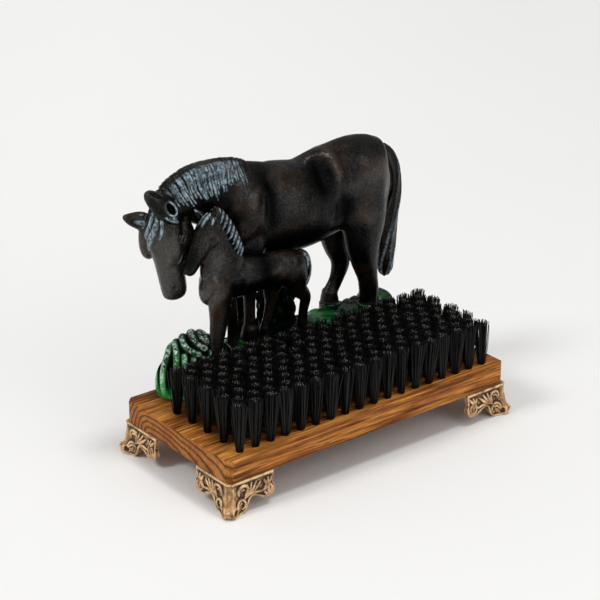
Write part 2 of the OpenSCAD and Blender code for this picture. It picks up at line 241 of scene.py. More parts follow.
def bell(co, x, z, along, up):
    """1 at (x, z) in the side view, falling off over those reaches."""
    return np.exp(-((co[:, 0] - x) / along) ** 2 - ((co[:, 2] - z) / up) ** 2)


def closeness(co, points, radii, weights):
    """The weight of the nearest point on that point, falling to 0 at its radius."""
    tree = KDTree(len(points))
    for i, p in enumerate(points):
        tree.insert(p, i)
    tree.balance()
    out = np.zeros(len(co))
    reach = radii.max()
    low, high = points.min(0) - reach, points.max(0) + reach
    for i in np.flatnonzero(((co > low) & (co < high)).all(1)):
        _, k, d = tree.find(co[i])
        out[i] = max(1 - d / radii[k], 0) * weights[k]
    return out


def surface_of(obj):
    verts, faces = as_part(obj)
    return BVHTree.FromPolygons(verts.tolist(), faces)


def laid_on(tree, rows, lift):
    """Stations moved onto a surface, standing out of it by lift."""
    out = []
    for row in rows:
        spot, normal = tree.find_nearest([float(v) for v in row[:3]])[:2]
        out.append([*(np.array(spot) + lift * np.array(normal)), *row[3:]])
    return out


def grained(obj, co, amount):
    """A cast skin: fine random relief of that height."""
    grain = relaxed(obj, rng.normal(size=(len(co), 1)), 2)
    return co + normals(obj) * grain / grain.std() * amount


def axes_of(out, along):
    """Three axes: along made square to out, their cross, and out."""
    out = np.array(out, float) / np.linalg.norm(out)
    along = np.array(along, float)
    along = along - (along @ out) * out
    along /= np.linalg.norm(along)
    return np.array([along, np.cross(out, along), out])


def dented(co, dents):
    """Hollows as (centre, radii, outward, along, depth): ellipsoids pushed in, deepest in their middle."""
    for centre, radii, out, along, depth in dents:
        axes = axes_of(out, along)
        rel = (co - np.array(centre, float)) @ axes.T / np.array(radii, float)
        fall = np.clip(1 - (rel ** 2).sum(1), 0, 1)
        co = co - (np.sqrt(fall) * depth)[:, None] * axes[2]
    return co


def swell(co, marks):
    """Low swellings and hollows on both flanks, as (x, z, reach along, reach up, height)."""
    out = co.copy()
    side = np.sign(co[:, 1]) * step(3, 9, np.abs(co[:, 1]))
    for x, z, along, up, height in marks:
        out[:, 1] += side * height * bell(co, x, z, along, up)
    return out


def set_mask(obj, name, values):
    attribute = obj.data.attributes.new(name, "FLOAT", "POINT")
    attribute.data.foreach_set("value", np.clip(values, 0, 1).astype(np.float32))


def shade_smooth(obj):
    obj.data.polygons.foreach_set("use_smooth", np.ones(len(obj.data.polygons), bool))


def piece(obj, slot, material, *nodes):
    obj.data.materials.clear()
    obj.data.materials.append(material)
    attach(obj, "root")
    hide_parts(*nodes)


# Materials

class Shader:
    """A node material with one Principled shader, and short names for the nodes it is built from."""

    def __init__(self, name):
        self.material = bpy.data.materials.new(name)
        self.material.use_nodes = True
        self.tree = self.material.node_tree
        self.bsdf = self.tree.nodes["Principled BSDF"]
        self.spot = self.node("ShaderNodeTexCoord").outputs["Object"]

    def node(self, kind, **settings):
        node = self.tree.nodes.new(kind)
        for key, value in settings.items():
            setattr(node, key, value)
        return node

    def link(self, source, target):
        self.tree.links.new(source, target)

    def feed(self, socket, value):
        if hasattr(value, "links"):
            self.link(value, socket)
        else:
            socket.default_value = value

    def noise(self, scale, detail, rough=0.55, stretch=None, distortion=0.0):
        spot = self.spot
        if stretch:
            mapping = self.node("ShaderNodeMapping")
            mapping.inputs["Scale"].default_value = stretch
            self.link(spot, mapping.inputs["Vector"])
            spot = mapping.outputs["Vector"]
        node = self.node("ShaderNodeTexNoise")
        self.link(spot, node.inputs["Vector"])
        node.inputs["Scale"].default_value = scale
        node.inputs["Detail"].default_value = detail
        node.inputs["Roughness"].default_value = rough
        node.inputs["Distortion"].default_value = distortion
        return node.outputs["Fac"]

    def parts(self, vector):
        """The X, Y and Z of a vector."""
        split = self.node("ShaderNodeSeparateXYZ")
        self.link(vector, split.inputs[0])
        return split.outputs

    def facing(self, axis):
        """The surface normal's share along one axis of the object."""
        return self.parts(self.node("ShaderNodeTexCoord").outputs["Normal"])[axis]

    def mask(self, name):
        return self.node("ShaderNodeAttribute", attribute_name=name).outputs["Fac"]

    def ramp(self, value, stops):
        node = self.node("ShaderNodeValToRGB")
        elements = node.color_ramp.elements
        while len(elements) < len(stops):
            elements.new(0.5)
        for element, (place, colour) in zip(elements, stops):
            element.position = place
            element.color = (*colour, 1) if isinstance(colour, tuple) else (colour, colour, colour, 1)
        self.link(value, node.inputs["Fac"])
        return node.outputs["Color"]

    def fade(self, value, low, high, first=0.0, last=1.0):
        """From first at low to last at high."""
        return self.ramp(value, [(low, first), (high, last)])

    def math(self, kind, a, b=0.0):
        node = self.node("ShaderNodeMath", operation=kind)
        self.feed(node.inputs[0], a)
        self.feed(node.inputs[1], b)
        return node.outputs[0]

    def plus(self, a, b):
        return self.math("ADD", a, b)

    def times(self, a, b):
        return self.math("MULTIPLY", a, b)

    def scaled(self, value, factor, offset):
        return self.plus(self.times(value, factor), offset)

    def mix(self, factor, a, b):
        """Colour a covered by colour b as far as factor says."""
        node = self.node("ShaderNodeMix", data_type="RGBA", blend_type="MIX")
        self.feed(node.inputs[0], factor)
        for socket, value in ((node.inputs[6], a), (node.inputs[7], b)):
            self.feed(socket, (*value, 1) if isinstance(value, tuple) else value)
        return node.outputs[2]

    def bump(self, height, distance, strength):
        node = self.node("ShaderNodeBump")
        node.inputs["Strength"].default_value = strength
        node.inputs["Distance"].default_value = distance
        self.link(height, node.inputs["Height"])
        return node.outputs["Normal"]

    def set(self, **sockets):
        names = {"colour": "Base Color", "rough": "Roughness", "metal": "Metallic", "normal": "Normal",
                 "specular": "Specular IOR Level"}
        for key, value in sockets.items():
            self.feed(self.bsdf.inputs[names[key]], value)
        return self.material


# The heart of the tree the board was cut from, in metres: behind the board's middle line and under its lower face
HEART_BACK = 0.034
HEART_BELOW = 0.010
RINGS_PER_METRE = 235.0
# Noise that bends the rings: scale, detail, share of the scale along the board, reach in metres
RING_BENDS = [(12, 2, 0.30, 0.008), (42, 3, 0.12, 0.0042), (130, 3, 0.06, 0.0008)]


def wood_material():
    s = Shader("oiled_board")
    x, y, z = s.parts(s.spot)
    end = s.fade(s.math("ABSOLUTE", s.facing(0)), 0.5, 0.75)
    side = s.math("SUBTRACT", 1.0, end)
    # Growth rings round the heart, drawn out towards the front and drifting along the board
    back = s.math("SUBTRACT", y, HEART_BACK)
    back = s.plus(s.math("MAXIMUM", back, 0.0), s.times(s.math("MINIMUM", back, 0.0), 0.20))
    up = s.plus(s.math("SUBTRACT", z, UNDERSIDE * MM), HEART_BELOW)
    up = s.plus(up, s.times(x, 0.06))
    rings = s.math("SQRT", s.plus(s.math("POWER", back, 2.0), s.math("POWER", up, 2.0)))
    for scale, detail, stretch, reach in RING_BENDS:
        bend = s.noise(scale, detail, stretch=(stretch, 1, 1))
        rings = s.plus(rings, s.times(s.math("SUBTRACT", bend, 0.5), reach))
    wave = s.math("FRACT", s.times(rings, RINGS_PER_METRE))
    band = s.ramp(wave, [(0.0, 0.15), (0.28, 0.0), (0.55, 0.22), (0.78, 1.0), (0.92, 1.0), (1.0, 0.15)])
    pores = s.noise(1000, 3, 0.6, stretch=(0.035, 1, 1))
    fibre = s.noise(300, 5, 0.66, stretch=(0.042, 1, 1), distortion=0.35)
    cloud = s.noise(30, 4, stretch=(0.35, 1, 1))
    base = s.ramp(cloud, [(0.28, (0.36, 0.106, 0.018)), (0.5, (0.53, 0.180, 0.032)), (0.72, (0.71, 0.288, 0.060))])
    # Golden fibres, dark fibres, the darker end grain, rings and pores
    mostly_side = s.scaled(side, 0.6, 0.4)
    base = s.mix(s.times(side, s.fade(fibre, 0.33, 0.49, 0.9, 0.0)), base, (0.84, 0.39, 0.088))
    base = s.mix(s.times(s.fade(fibre, 0.47, 0.62, 0.0, 0.85), mostly_side), base, (0.105, 0.028, 0.006))
    base = s.mix(s.times(end, 0.22), base, (0.10, 0.028, 0.007))
    base = s.mix(s.times(band, s.scaled(end, 0.46, 0.38)), base, (0.050, 0.012, 0.003))
    base = s.mix(s.times(s.fade(pores, 0.53, 0.63, 0.0, 0.75), mostly_side), base, (0.045, 0.012, 0.003))
    # Painted shade on the deck between the tufts
    painted_tuft_shade = s.times(s.fade(s.scaled(x, 3.5, 0.5), 0.06, 0.12, 0.0, 0.9), s.fade(s.scaled(y, 7.0, 0.5), 0.13, 0.22))
    base = s.mix(s.times(painted_tuft_shade, s.fade(s.facing(2), 0.5, 0.8)), base, (0.020, 0.008, 0.003))
    height = s.plus(s.times(pores, -0.5), s.times(band, -0.5))
    rough = s.fade(fibre, 0.3, 0.75, 0.40, 0.62)
    return s.set(colour=base, rough=rough, normal=s.bump(height, 0.0007, 0.6), specular=0.12)


def iron_material():
    s = Shader("painted_iron")
    hair, edge, wear_and_painted_light = (s.mask(name) for name in ("hair", "edge", "wear_and_painted_light"))
    painted_top_light = s.fade(s.facing(2), 0.0, 0.9)
    blotch = s.noise(34, 3)
    mottle = s.noise(120, 4, 0.60)
    fine = s.noise(1000, 3, 0.62)
    sparkle = s.noise(850, 3, 0.65)
    # How light the black is: by place, as rubbed paint with painted light and shade, mottled, and a little lighter
    # from above as painted top light
    level = s.plus(s.times(wear_and_painted_light, 1.2), s.times(s.math("SUBTRACT", mottle, 0.5), 0.42))
    level = s.plus(level, s.times(painted_top_light, 0.04))
    black = s.ramp(level, [(0.0, (0.0005, 0.0005, 0.0005)), (0.30, (0.0016, 0.0015, 0.0014)),
                           (0.60, (0.0080, 0.0070, 0.0060)), (1.0, (0.044, 0.040, 0.035))])
    # Brown blotches, pale specks as painted glints, and paler edges as rubbed paint and a painted highlight
    brown = s.times(s.fade(blotch, 0.48, 0.62, 0.0, 0.8), s.fade(level, 0.15, 0.50))
    black = s.mix(brown, black, (0.032, 0.0165, 0.0085))
    painted_glint = s.times(s.fade(sparkle, 0.56, 0.72), s.fade(level, 0.25, 0.85, 0.0, 0.45))
    black = s.mix(painted_glint, black, (0.13, 0.127, 0.12))
    black = s.mix(s.times(edge, s.fade(mottle, 0.38, 0.60, 0.1, 0.5)), black, (0.085, 0.080, 0.073))
    # Pale blue-grey brushed dry over the hair
    dry = s.times(hair, s.fade(s.noise(420, 3, 0.6), 0.38, 0.60, 0.12, 1.0))
    colour = s.mix(dry, black, (0.34, 0.45, 0.52))
    rough = s.plus(s.times(fine, 0.16), s.scaled(hair, 0.4, 0.12))
    # Where the black is lighter it shines, speck by speck
    sheen = s.times(s.fade(level, 0.08, 0.80, 0.06, 0.65), s.fade(sparkle, 0.38, 0.64, 0.25, 1.0))
    height = s.plus(s.times(fine, 0.45), s.noise(380, 4, 0.6))
    return s.set(colour=colour, rough=rough, specular=sheen, normal=s.bump(height, 0.0009, 0.26))


def turf_material():
    s = Shader("painted_turf")
    ridge, hollow, bright = (s.mask(name) for name in ("edge", "hollow", "bright"))
    patch = s.noise(95, 3)
    fine = s.noise(600, 3)
    wear_and_painted_light = s.noise(380, 4, 0.66)
    green = s.ramp(patch, [(0.40, (0.0008, 0.010, 0.003)), (0.54, (0.0022, 0.058, 0.013)),
                           (0.68, (0.008, 0.24, 0.034))])
    green = s.mix(s.times(bright, s.fade(patch, 0.38, 0.56, 0.30, 1.0)), green, (0.035, 0.46, 0.085))
    # Painted shade in the grooves and hollows and on the bush; darker over the right end too
    green = s.mix(hollow, green, (0.0005, 0.0035, 0.0012))
    # Painted highlights on the crests
    painted_crest_highlight = s.times(ridge, s.fade(wear_and_painted_light, 0.47, 0.59))
    green = s.mix(s.times(painted_crest_highlight, 0.85), green, (0.58, 0.70, 0.60))
    gloss = s.math("SUBTRACT", 0.5, s.times(hollow, 0.46))
    return s.set(colour=green, rough=s.scaled(wear_and_painted_light, 0.25, 0.08), specular=gloss, normal=s.bump(fine, 0.0006, 0.22))


def bronze_material():
    s = Shader("antiqued_bronze")
    edge, hollow = s.mask("edge"), s.mask("hollow")
    tone = s.noise(140, 4)
    fine = s.noise(1100, 3, 0.65)
    body = s.ramp(tone, [(0.3, (0.085, 0.038, 0.013)), (0.52, (0.48, 0.25, 0.10)), (0.70, (0.92, 0.56, 0.27))])
    # Dark wash in the hollows, rubbed edges and dark specks
    body = s.mix(s.times(hollow, 0.97), body, (0.032, 0.012, 0.005))
    rub = s.times(s.times(edge, s.fade(fine, 0.34, 0.58, 0.35, 1.0)), s.fade(tone, 0.34, 0.56, 0.35, 1.0))
    body = s.mix(rub, body, (1.0, 0.73, 0.42))
    body = s.mix(s.times(s.fade(fine, 0.36, 0.46, 1.0, 0.0), 0.6), body, (0.060, 0.028, 0.013))
    return s.set(colour=body, rough=s.scaled(fine, 0.3, 0.30), metal=0.35, specular=0.5,
                 normal=s.bump(fine, 0.0006, 0.45))


def bristle_material():
    s = Shader("bristle_fibre")
    streak = s.noise(900, 2, stretch=(1, 1, 0.05))
    # The tone mask carries painted shade low in the tufts and painted highlights on the tips
    shade = s.plus(s.times(s.mask("tone"), 0.75), s.times(streak, 0.3))
    colour = s.ramp(shade, [(0.1, (0.003, 0.003, 0.003)), (0.55, (0.010, 0.0095, 0.009)),
                            (0.78, (0.055, 0.052, 0.048)), (1.0, (0.42, 0.40, 0.38))])
    return s.set(colour=colour, rough=s.scaled(streak, 0.25, 0.32), specular=0.22)


def steel_material():
    s = Shader("zinc_steel")
    brush = s.noise(900, 3, stretch=(1, 1, 0.1))
    colour = s.fade(s.noise(160, 3), 0.3, 0.7, (0.36, 0.36, 0.37), (0.58, 0.58, 0.60))
    return s.set(colour=colour, rough=s.scaled(brush, 0.25, 0.28), metal=1.0, normal=s.bump(brush, 0.0001, 0.4))


wood = wood_material()
iron = iron_material()
green_paint = turf_material()
bronze = bronze_material()
fibre_black = bristle_material()
steel = steel_material()


# Board

TUFT_HOLE = 4.5
ROWS = 9
TUFTS = 18
END_MARGIN = 17.0
FRONT_MARGIN = 9.6
FIGURE_STRIP = 44.4
PITCH = (BOARD_LENGTH - 2 * END_MARGIN) / (TUFTS - 1)
ROW_STEP = (BOARD_WIDTH - FRONT_MARGIN - FIGURE_STRIP) / (ROWS - 1)
STRIP_DEPTH = 3.0
STRIP_WIDTH = 5.0
STRIP_OVERHANG = 3.5
STRIP_SLACK = 0.1
BOLTS = (-78, 0, 82)
BOLT_HOLE = 2.75
BOLT_RECESS = 5.5
BOLT_RECESS_DEPTH = 6.5
BOARD_EDGE = 0.9
# Cuts run on past a face, and into the next cut, by this much
OVERCUT = 1.0
OVERLAP = 0.5


def tuft_spots(row):
    n = TUFTS - row % 2
    x = (np.arange(n) - (n - 1) / 2) * PITCH
    return x, -BOARD_WIDTH / 2 + FRONT_MARGIN + row * ROW_STEP


def strip_outline(xs, y, slack=0.0):
    """The strip that a row of tufts is drawn on."""
    reach = (xs[-1] - xs[0]) / 2 + STRIP_OVERHANG + slack
    w = STRIP_WIDTH / 2 + slack
    return [(-reach, y - w), (reach, y - w), (reach, y + w), (-reach, y + w)]


def make_board():
    a, b, c = BOARD_LENGTH / 2, BOARD_WIDTH / 2, CORNER_CUT
    outline = [(a - c, -b), (a, c - b), (a, b - c), (a - c, b), (c - a, b), (-a, b - c), (-a, c - b), (c - a, -b)]
    obj = new_object("brush_board", *prism(outline, UNDERSIDE, DECK))
    bm = bmesh.new()
    bm.from_mesh(obj.data)
    bmesh.ops.bevel(bm, geom=list(bm.edges), offset=BOARD_EDGE * MM, segments=3, profile=0.5, affect="EDGES")
    bm.to_mesh(obj.data)
    bm.free()
    groove, recess = UNDERSIDE + STRIP_DEPTH, UNDERSIDE + BOLT_RECESS_DEPTH
    cuts = []
    for row in range(ROWS):
        xs, y = tuft_spots(row)
        cuts += [cylinder(x, y, TUFT_HOLE / 2, 20, groove - OVERLAP, DECK + OVERCUT) for x in xs]
        cuts.append(prism(strip_outline(xs, y, STRIP_SLACK), UNDERSIDE - OVERCUT, groove))
    for x in BOLTS:
        cuts.append(cylinder(x, MARE_Y, BOLT_RECESS, 28, UNDERSIDE - OVERCUT, recess))
        cuts.append(cylinder(x, MARE_Y, BOLT_HOLE, 20, recess - OVERLAP, DECK + OVERCUT))
    cutter = new_object("board_cuts", *join(cuts))
    mod = obj.modifiers.new("cuts", "BOOLEAN")
    mod.object = cutter
    mod.operation = "DIFFERENCE"
    mod.solver = "EXACT"
    mod.use_self = True
    apply_modifiers(obj)
    bpy.data.objects.remove(cutter)
    piece(obj, "board_wood", wood, "base_board")


# Bristles

BRISTLE = 38.0
BRISTLE_ROOT = 5.0
PER_TUFT = 62
SIDES = 3
ROOT_SPREAD = 1.8
TUFT_FLARE = 6.8
# The last row's tips stay this close, clear of the figure
BACK_REACH = 3.4
GOLDEN_ANGLE = 2.39996
# How unevenly a tuft leans, a bristle bows and ends, how far bristles twist, how rounded a tuft's top is, and between
# which half widths a bristle lies
LEAN = 0.7
BOW = 0.3
UNEVEN = 0.8
TWIST = 0.12
CROWN = 1.3
HALF_WIDTH = (0.36, 0.48)
# The share of bristles that stray, and how much further out than the others
STRAYS = 0.03
STRAY_REACH = 1.3
# Where the rings of a bristle lie along it, and how light it is painted there: painted shade low down, a painted
# highlight at the tip
RINGS = np.array([0, 0.2, 0.5, 0.80, 0.94, 1.0])
PAINTED_LIGHT_ALONG = np.array([0.08, 0.10, 0.19, 0.03, 0.55, 3.0])
STRIP_TONE = 0.3


def make_bristles(row):
    xs, y = tuft_spots(row)
    count = len(RINGS) * SIDES
    tube = np.array(tube_faces(len(RINGS), SIDES)[:-2])
    verts, faces, tone = [], [], []
    start = 0
    for x in xs:
        middle = np.array([x, y])
        lean = rng.normal(0, LEAN, 2)
        for k in range(PER_TUFT):
            r = math.sqrt((k + 0.5) / PER_TUFT)
            a = k * GOLDEN_ANGLE + rng.uniform(-0.3, 0.3)
            stray = rng.random() < STRAYS
            root = middle + ROOT_SPREAD * r * np.array([math.cos(a), math.sin(a)])
            reach = TUFT_FLARE * r * (STRAY_REACH if stray else rng.uniform(0.82, 1.05))
            tip = middle + lean + reach * np.array([math.cos(a + TWIST), math.sin(a + TWIST)])
            if row == ROWS - 1:
                tip[1] = min(tip[1], y + BACK_REACH)
            bow = rng.normal(0, BOW, 2)
            low = DECK - BRISTLE_ROOT
            high = DECK + BRISTLE - min(abs(rng.normal(0, UNEVEN)), 3.0) - CROWN * r * r
            half = rng.uniform(*HALF_WIDTH) * (1 - 0.3 * RINGS ** 3)
            ang = rng.uniform(0, 2.1) + 2 * np.pi * np.arange(SIDES) / SIDES
            centre = root + (tip - root) * (RINGS ** 0.85)[:, None] + bow * np.sin(np.pi * RINGS)[:, None]
            ring = np.empty((len(RINGS), SIDES, 3))
            ring[..., 0] = centre[:, 0, None] + half[:, None] * np.cos(ang)
            ring[..., 1] = centre[:, 1, None] + half[:, None] * np.sin(ang)
            ring[..., 2] = (low + (high - low) * RINGS)[:, None]
            verts.append(ring.reshape(-1, 3))
            faces += (tube + start).tolist() + [[start + count - SIDES + j for j in range(SIDES)]]
            start += count
            # Painted highlights on the tips, only near the middle of a tuft
            shade = 0.30 + 0.70 * rng.random() ** 2
            core = 0.06 + 0.94 * math.exp(-(r / 0.52) ** 2)
            tone += [q * shade * (core if q > 0.4 else 1) for q in PAINTED_LIGHT_ALONG for _ in range(SIDES)]
    strip, strip_faces = prism(strip_outline(xs, y), UNDERSIDE, UNDERSIDE + STRIP_DEPTH)
    verts.append(strip)
    faces += [[i + start for i in f] for f in strip_faces]
    tone += [STRIP_TONE] * len(strip)
    obj = new_object("bristles_row_%d" % (row + 1), np.concatenate(verts), faces)
    set_mask(obj, "tone", np.array(tone))
    piece(obj, "bristle", fibre_black, "tuft_row_%d" % (row + 1))


# Feet: worked out once at a corner whose wings run along +X and +Y, then mirrored to the four corners.

FOOT_HEIGHT = UNDERSIDE
WING = 40.0
WING_LOW = FOOT_HEIGHT - 19.5
TOE_FLARE = 4.8
FOOT_VOXEL = 0.42
# The toe from the ground up: height, how far it stands out, reach along a wing, width of the cut corner
TOE = np.array([
    [0, 3.2, 11.5, 5], [1.5, 4.3, 13, 5.2], [3.5, 4.8, 14.3, 5.2], [5.5, 4.8, 15.2, 5.2], [7.5, 4.3, 15.8, 5],
    [9.5, 3.2, 16, 4.8], [12, 2.3, 16, 4.6], [16, 1.4, 15.5, 4.5], [FOOT_HEIGHT, 0.9, 14, 4.7]])


def wing_face(u, z):
    """How far the foot's outer face stands out past the board at u along the wing and height z."""
    out = np.interp(z, TOE[:, 0], TOE[:, 1])
    reach = np.interp(z, TOE[:, 0], TOE[:, 2])
    cut = np.interp(z, TOE[:, 0], TOE[:, 3])
    s = np.clip((u + out - cut) / (reach + out - cut), 0, 1)
    return max((out + 0.6) * (1 - s) ** 1.2 - 0.6, 0.5)


def wing_ornament():
    """Rims, C-scrolls, a leaf spray and a leafed lobe, each as [along, up, half width] on the wing's face."""
    tubes = []

    def tube(points, lift=0.35):
        p = smooth_path([list(q) for q in points], 6)
        tubes.append(loft([[u, -wing_face(u, z) - lift, z, w, w] for u, z, w in p], 1, 10, (0, 1, 0)))

    def spiral(u, z, radius, start, turns, w0, w1):
        a = np.radians(np.linspace(start, start + 360 * turns, 15))
        r = np.linspace(radius, 0.8, 15)
        return [[u + q * math.cos(b), z + q * math.sin(b), w] for b, q, w in zip(a, r, np.linspace(w0, w1, 15))]

    def curl(u, z, radius, first, last, w):
        """An open C round (u, z), thickest in its middle."""
        a = np.radians(np.linspace(first, last, 11))
        thick = w * (0.6 + 0.4 * np.sin(np.linspace(0, np.pi, 11)))
        return [[u + radius * math.cos(b), z + radius * math.sin(b), t] for b, t in zip(a, thick)]

    low, top = WING_LOW, FOOT_HEIGHT
    # Rim from the lip of the toe along the lower edge to the lobe
    tube([
        [-3.4, 6.4, 0.8], [-1.0, 2.4, 0.9], [3.5, 1.0, 0.9], [10.8, 1.4, 0.9], [13.8, 3.8, 0.9], [15.6, 7.2, 0.9],
        [17.0, 10.2, 0.9], [19.0, 12.3, 0.9], [21.2, 12.8, 0.9], [25, 11.2, 0.9], [30, 8.3, 0.8], [33, 7.7, 0.7]])
    # Thin rim under the board
    tube([[1.0, top - 0.7, 0.65], [WING / 2, top - 0.7, 0.65], [WING - 0.8, top - 0.7, 0.65]], 0.0)
    # Two C-scrolls beside the corner, one over the other
    tube(curl(11.8, 18.2, 4.4, 215, -60, 1.2), 0.5)
    tube([[8.8, 17.6, 0.5], [10.6, 19.8, 0.9], [12.8, 18.8, 0.7]], 0.35)
    tube(curl(9.6, 7.8, 4.0, 205, -75, 1.1), 0.5)
    tube([[6.8, 7.2, 0.5], [8.6, 9.4, 0.9], [10.6, 8.6, 0.6]], 0.35)
    # Leaf spray out of the scrolls
    for u1, z1, w in ((15.5, top - 3.6, 1.3), (19.5, top - 3.2, 1.4), (23.8, top - 3.6, 1.4), (27.6, top - 5.4, 1.4)):
        tube([[13.4, 13.2, 0.6], [(13.4 + u1) / 2 + 0.8, (13.2 + z1) / 2 - 0.9, w], [u1, z1, 0.5]], 0.3)
    # Stem over the arch, curling in on the lobe
    tube([[12.6, 11.8, 0.7], [18, 14.4, 1.0], [24, 14.2, 1.1], [29.5, 13.6, 1.0]]
         + spiral(WING - 6.6, low + 6.2, 4.6, 95, -1.35, 1.0, 1.1), 0.4)
    # Leaves of the lobe
    for k, (u1, z1) in enumerate(((WING - 2.2, top - 4.2), (WING - 5.6, top - 3.6), (WING - 9.4, top - 4.6))):
        tube([[WING - 9.0 + 1.4 * k, low + 9.6, 0.6], [(WING - 8.0 + u1) / 2 + 0.6, (low + 10 + z1) / 2, 1.3],
              [u1, z1, 0.5]], 0.3)
    tube([
        [WING - 0.9, low + 9.6, 0.6], [WING - 0.7, low + 5.5, 0.8], [WING - 2.2, low + 1.8, 0.8],
        [WING - 5.5, low + 0.5, 0.8], [33, 7.7, 0.7]], 0.2)
    return tubes


# Stations down the corner as height, half width, half depth: a convex band, and a boss on it
CORNER_BANDS = [
    [[26.0, 2.8, 0.7], [22.0, 3.4, 0.9], [16.0, 3.3, 0.9], [10.0, 3.0, 0.8], [6.5, 2.4, 0.6]],
    [[20.0, 0.4, 0.4], [18.0, 1.5, 1.2], [15.6, 1.9, 1.5], [13.2, 1.5, 1.2], [11.6, 0.4, 0.4]]]
# The lip that joins the rims of the two wings
TOE_LIP = [[-3.2, -4.4, 6.4, 0.8, 0.8], [-3.3, -3.3, 6.8, 0.9, 0.9], [-4.4, -3.2, 6.4, 0.8, 0.8]]
# The hollows of the toe beside the corner band
TOE_DENTS = [
    ((3.6, -3.2, 4.4), (2.6, 2.4, 3.6), (0, -1, 0), (1, 0, 0), 1.2),
    ((-3.2, 3.6, 4.4), (2.6, 2.4, 3.6), (-1, 0, 0), (0, 1, 0), 1.2)]


def make_feet():
    corner = np.array([BOARD_LENGTH / 2, BOARD_WIDTH / 2, 0])
    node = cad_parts["foot_front_left"]
    world = np.array(node.matrix_world)
    solid = coords(node) @ world[:3, :3].T + world[:3, 3] / MM + corner
    parts = [(solid, [list(p.vertices) for p in node.data.polygons])]
    for v, f in wing_ornament():
        parts.append((v, f))
        parts.append((v[:, [1, 0, 2]], [face[::-1] for face in f]))
    middle = -TOE[:, 1] + TOE[:, 3] / 2
    for stations in CORNER_BANDS:
        rows = [[*(np.interp(z, TOE[:, 0], middle) - 0.2,) * 2, z, w, d] for z, w, d in stations]
        parts.append(loft(rows, 6, 14, (0.7071, -0.7071, 0)))
    parts.append(loft(TOE_LIP, 6, 10))
    obj = skin("foot_pattern", parts, FOOT_VOXEL)
    co = dented(relaxed(obj, coords(obj), 2), TOE_DENTS)
    co[:, 2] = np.clip(co[:, 2], 0.0, FOOT_HEIGHT)
    co[:, :2] = np.maximum(co[:, :2], -TOE_FLARE)
    set_coords(obj, co)
    rise = relief_of(obj, co, 14)
    wide = relief_of(obj, co, 60)
    set_mask(obj, "edge", step(0.02, 0.16, rise) * 0.9 + step(0.25, 0.8, wide) * 0.35)
    set_mask(obj, "hollow", step(0.0, 0.12, -rise) * 0.8 + step(0.03, 0.35, -wide) * 0.7)
    shade_smooth(obj)
    corners = (("front_left", 1, 1), ("front_right", -1, 1), ("rear_left", 1, -1), ("rear_right", -1, -1))
    for name, sx, sy in corners:
        mesh = obj.data.copy()
        foot = placed("cast_foot_" + name, mesh)
        set_coords(foot, (co - corner) * np.array([sx, sy, 1]))
        if sx * sy < 0:
            mesh.flip_normals()
        piece(foot, "foot_bronze", bronze, "foot_" + name)
    bpy.data.objects.remove(obj)


# Turf

# Stations of the mound: along the board, middle from the mare's line, half width, height
TURF = [
    [-114, 3, 5, 9], [-110, 2, 9, 26], [-101, -1, 14, 40], [-84, -4, 17, 47], [-66, -5, 18, 36], [-44, -5, 18.3, 30],
    [-12, -5, 18.3, 31], [4, -4, 18.3, 32], [22, -4, 18, 30], [50, -3, 17.5, 29.5], [80, -3, 17.5, 30],
    [100, -1, 15.5, 34], [111, 0, 11, 29], [117, 1, 6, 10]]
# The fan at the left end: its middle along the mound and round it, the two ways it spreads, and the middle lines
# of its lobes as (to the left, up) from there
FAN = (-88, 133)
FAN_LEFT = np.array([-0.783, 0.622, 0])
FAN_UP = np.array([0.245, 0.308, 0.919])
FAN_LOBES = [
    [(31, 8), (34.5, -4), (35.5, -18), (35, -40)], [(24, 12), (25.3, -0.7), (28.2, -11), (29.4, -20.2), (28.4, -40)],
    [(24, 15), (20.8, 6.8), (18.8, -0.7), (18.6, -9), (20, -30)],
    [(20, 19), (15.6, 11.4), (12.7, 5), (7.6, 0.5), (1.8, -2.4)],
    [(13, 22), (9.5, 15.1), (6.4, 9.6), (1.8, 5), (-2.8, 1.6)],
    [(6, 25), (3.2, 18.2), (0.9, 12.5), (-2.8, 7.9), (-6.2, 5.6)],
    [(-1, 25), (-2.8, 18.2), (-4.8, 13.1), (-7.5, 9), (-11, 7)], [(-8, 25), (-9.5, 18), (-12, 13), (-16, 10)],
    [(12.4, -3.6), (12.2, -12), (12.6, -30)], [(5.6, -6), (5.4, -15), (5, -30)],
    [(-1.2, -5.5), (-1.4, -15), (-2, -30)], [(-7.5, -1.5), (-8.4, -14), (-9, -30)],
    [(-13.5, 3), (-15.4, -12), (-16, -30)]]
FAN_WIDTH = 4.2
FAN_RISE = 5.2
FAN_SINK = 3.9
TURF_VOXEL = 0.6
BLADES_FROM = -62.0
BLADES_TO = 114
BUSH_LEAVES = 44
# Bright spots of the fan: along, up from the deck, reach along, reach up, weight
FAN_BRIGHT = [(-108, 10, 12, 14, 1.0), (-84, 12, 9, 9, 0.7), (-100, 36, 5, 7, 0.5)]
BUSH = [[-2, 3, 20, 9, 17], [-2, 3, 42, 8.5, 16.5], [-2, 3, 58, 7.5, 15.5], [-1, 3, 68, 5.5, 12], [-1, 3, 73, 2.5, 6]]
MARE_HOOVES = [[82, -10], [58, 10], [-36, -8], [-35, 8]]
FOAL_HOOVES = [[-76, -2], [-55, 6], [7, -2], [-24, 6]]


def mound_point(x, angle):
    """A point of the mound's skin: angle 0 is the back foot, 180 the front foot."""
    path = np.array(TURF)
    s = [np.interp(x, path[:, 0], path[:, k]) for k in range(4)]
    c, q = math.cos(math.radians(angle)), max(math.sin(math.radians(angle)), 0)
    return np.array([x, MARE_Y + s[1] + s[2] * math.copysign(abs(c) ** 0.6, c), DECK + s[3] * q ** 0.6])


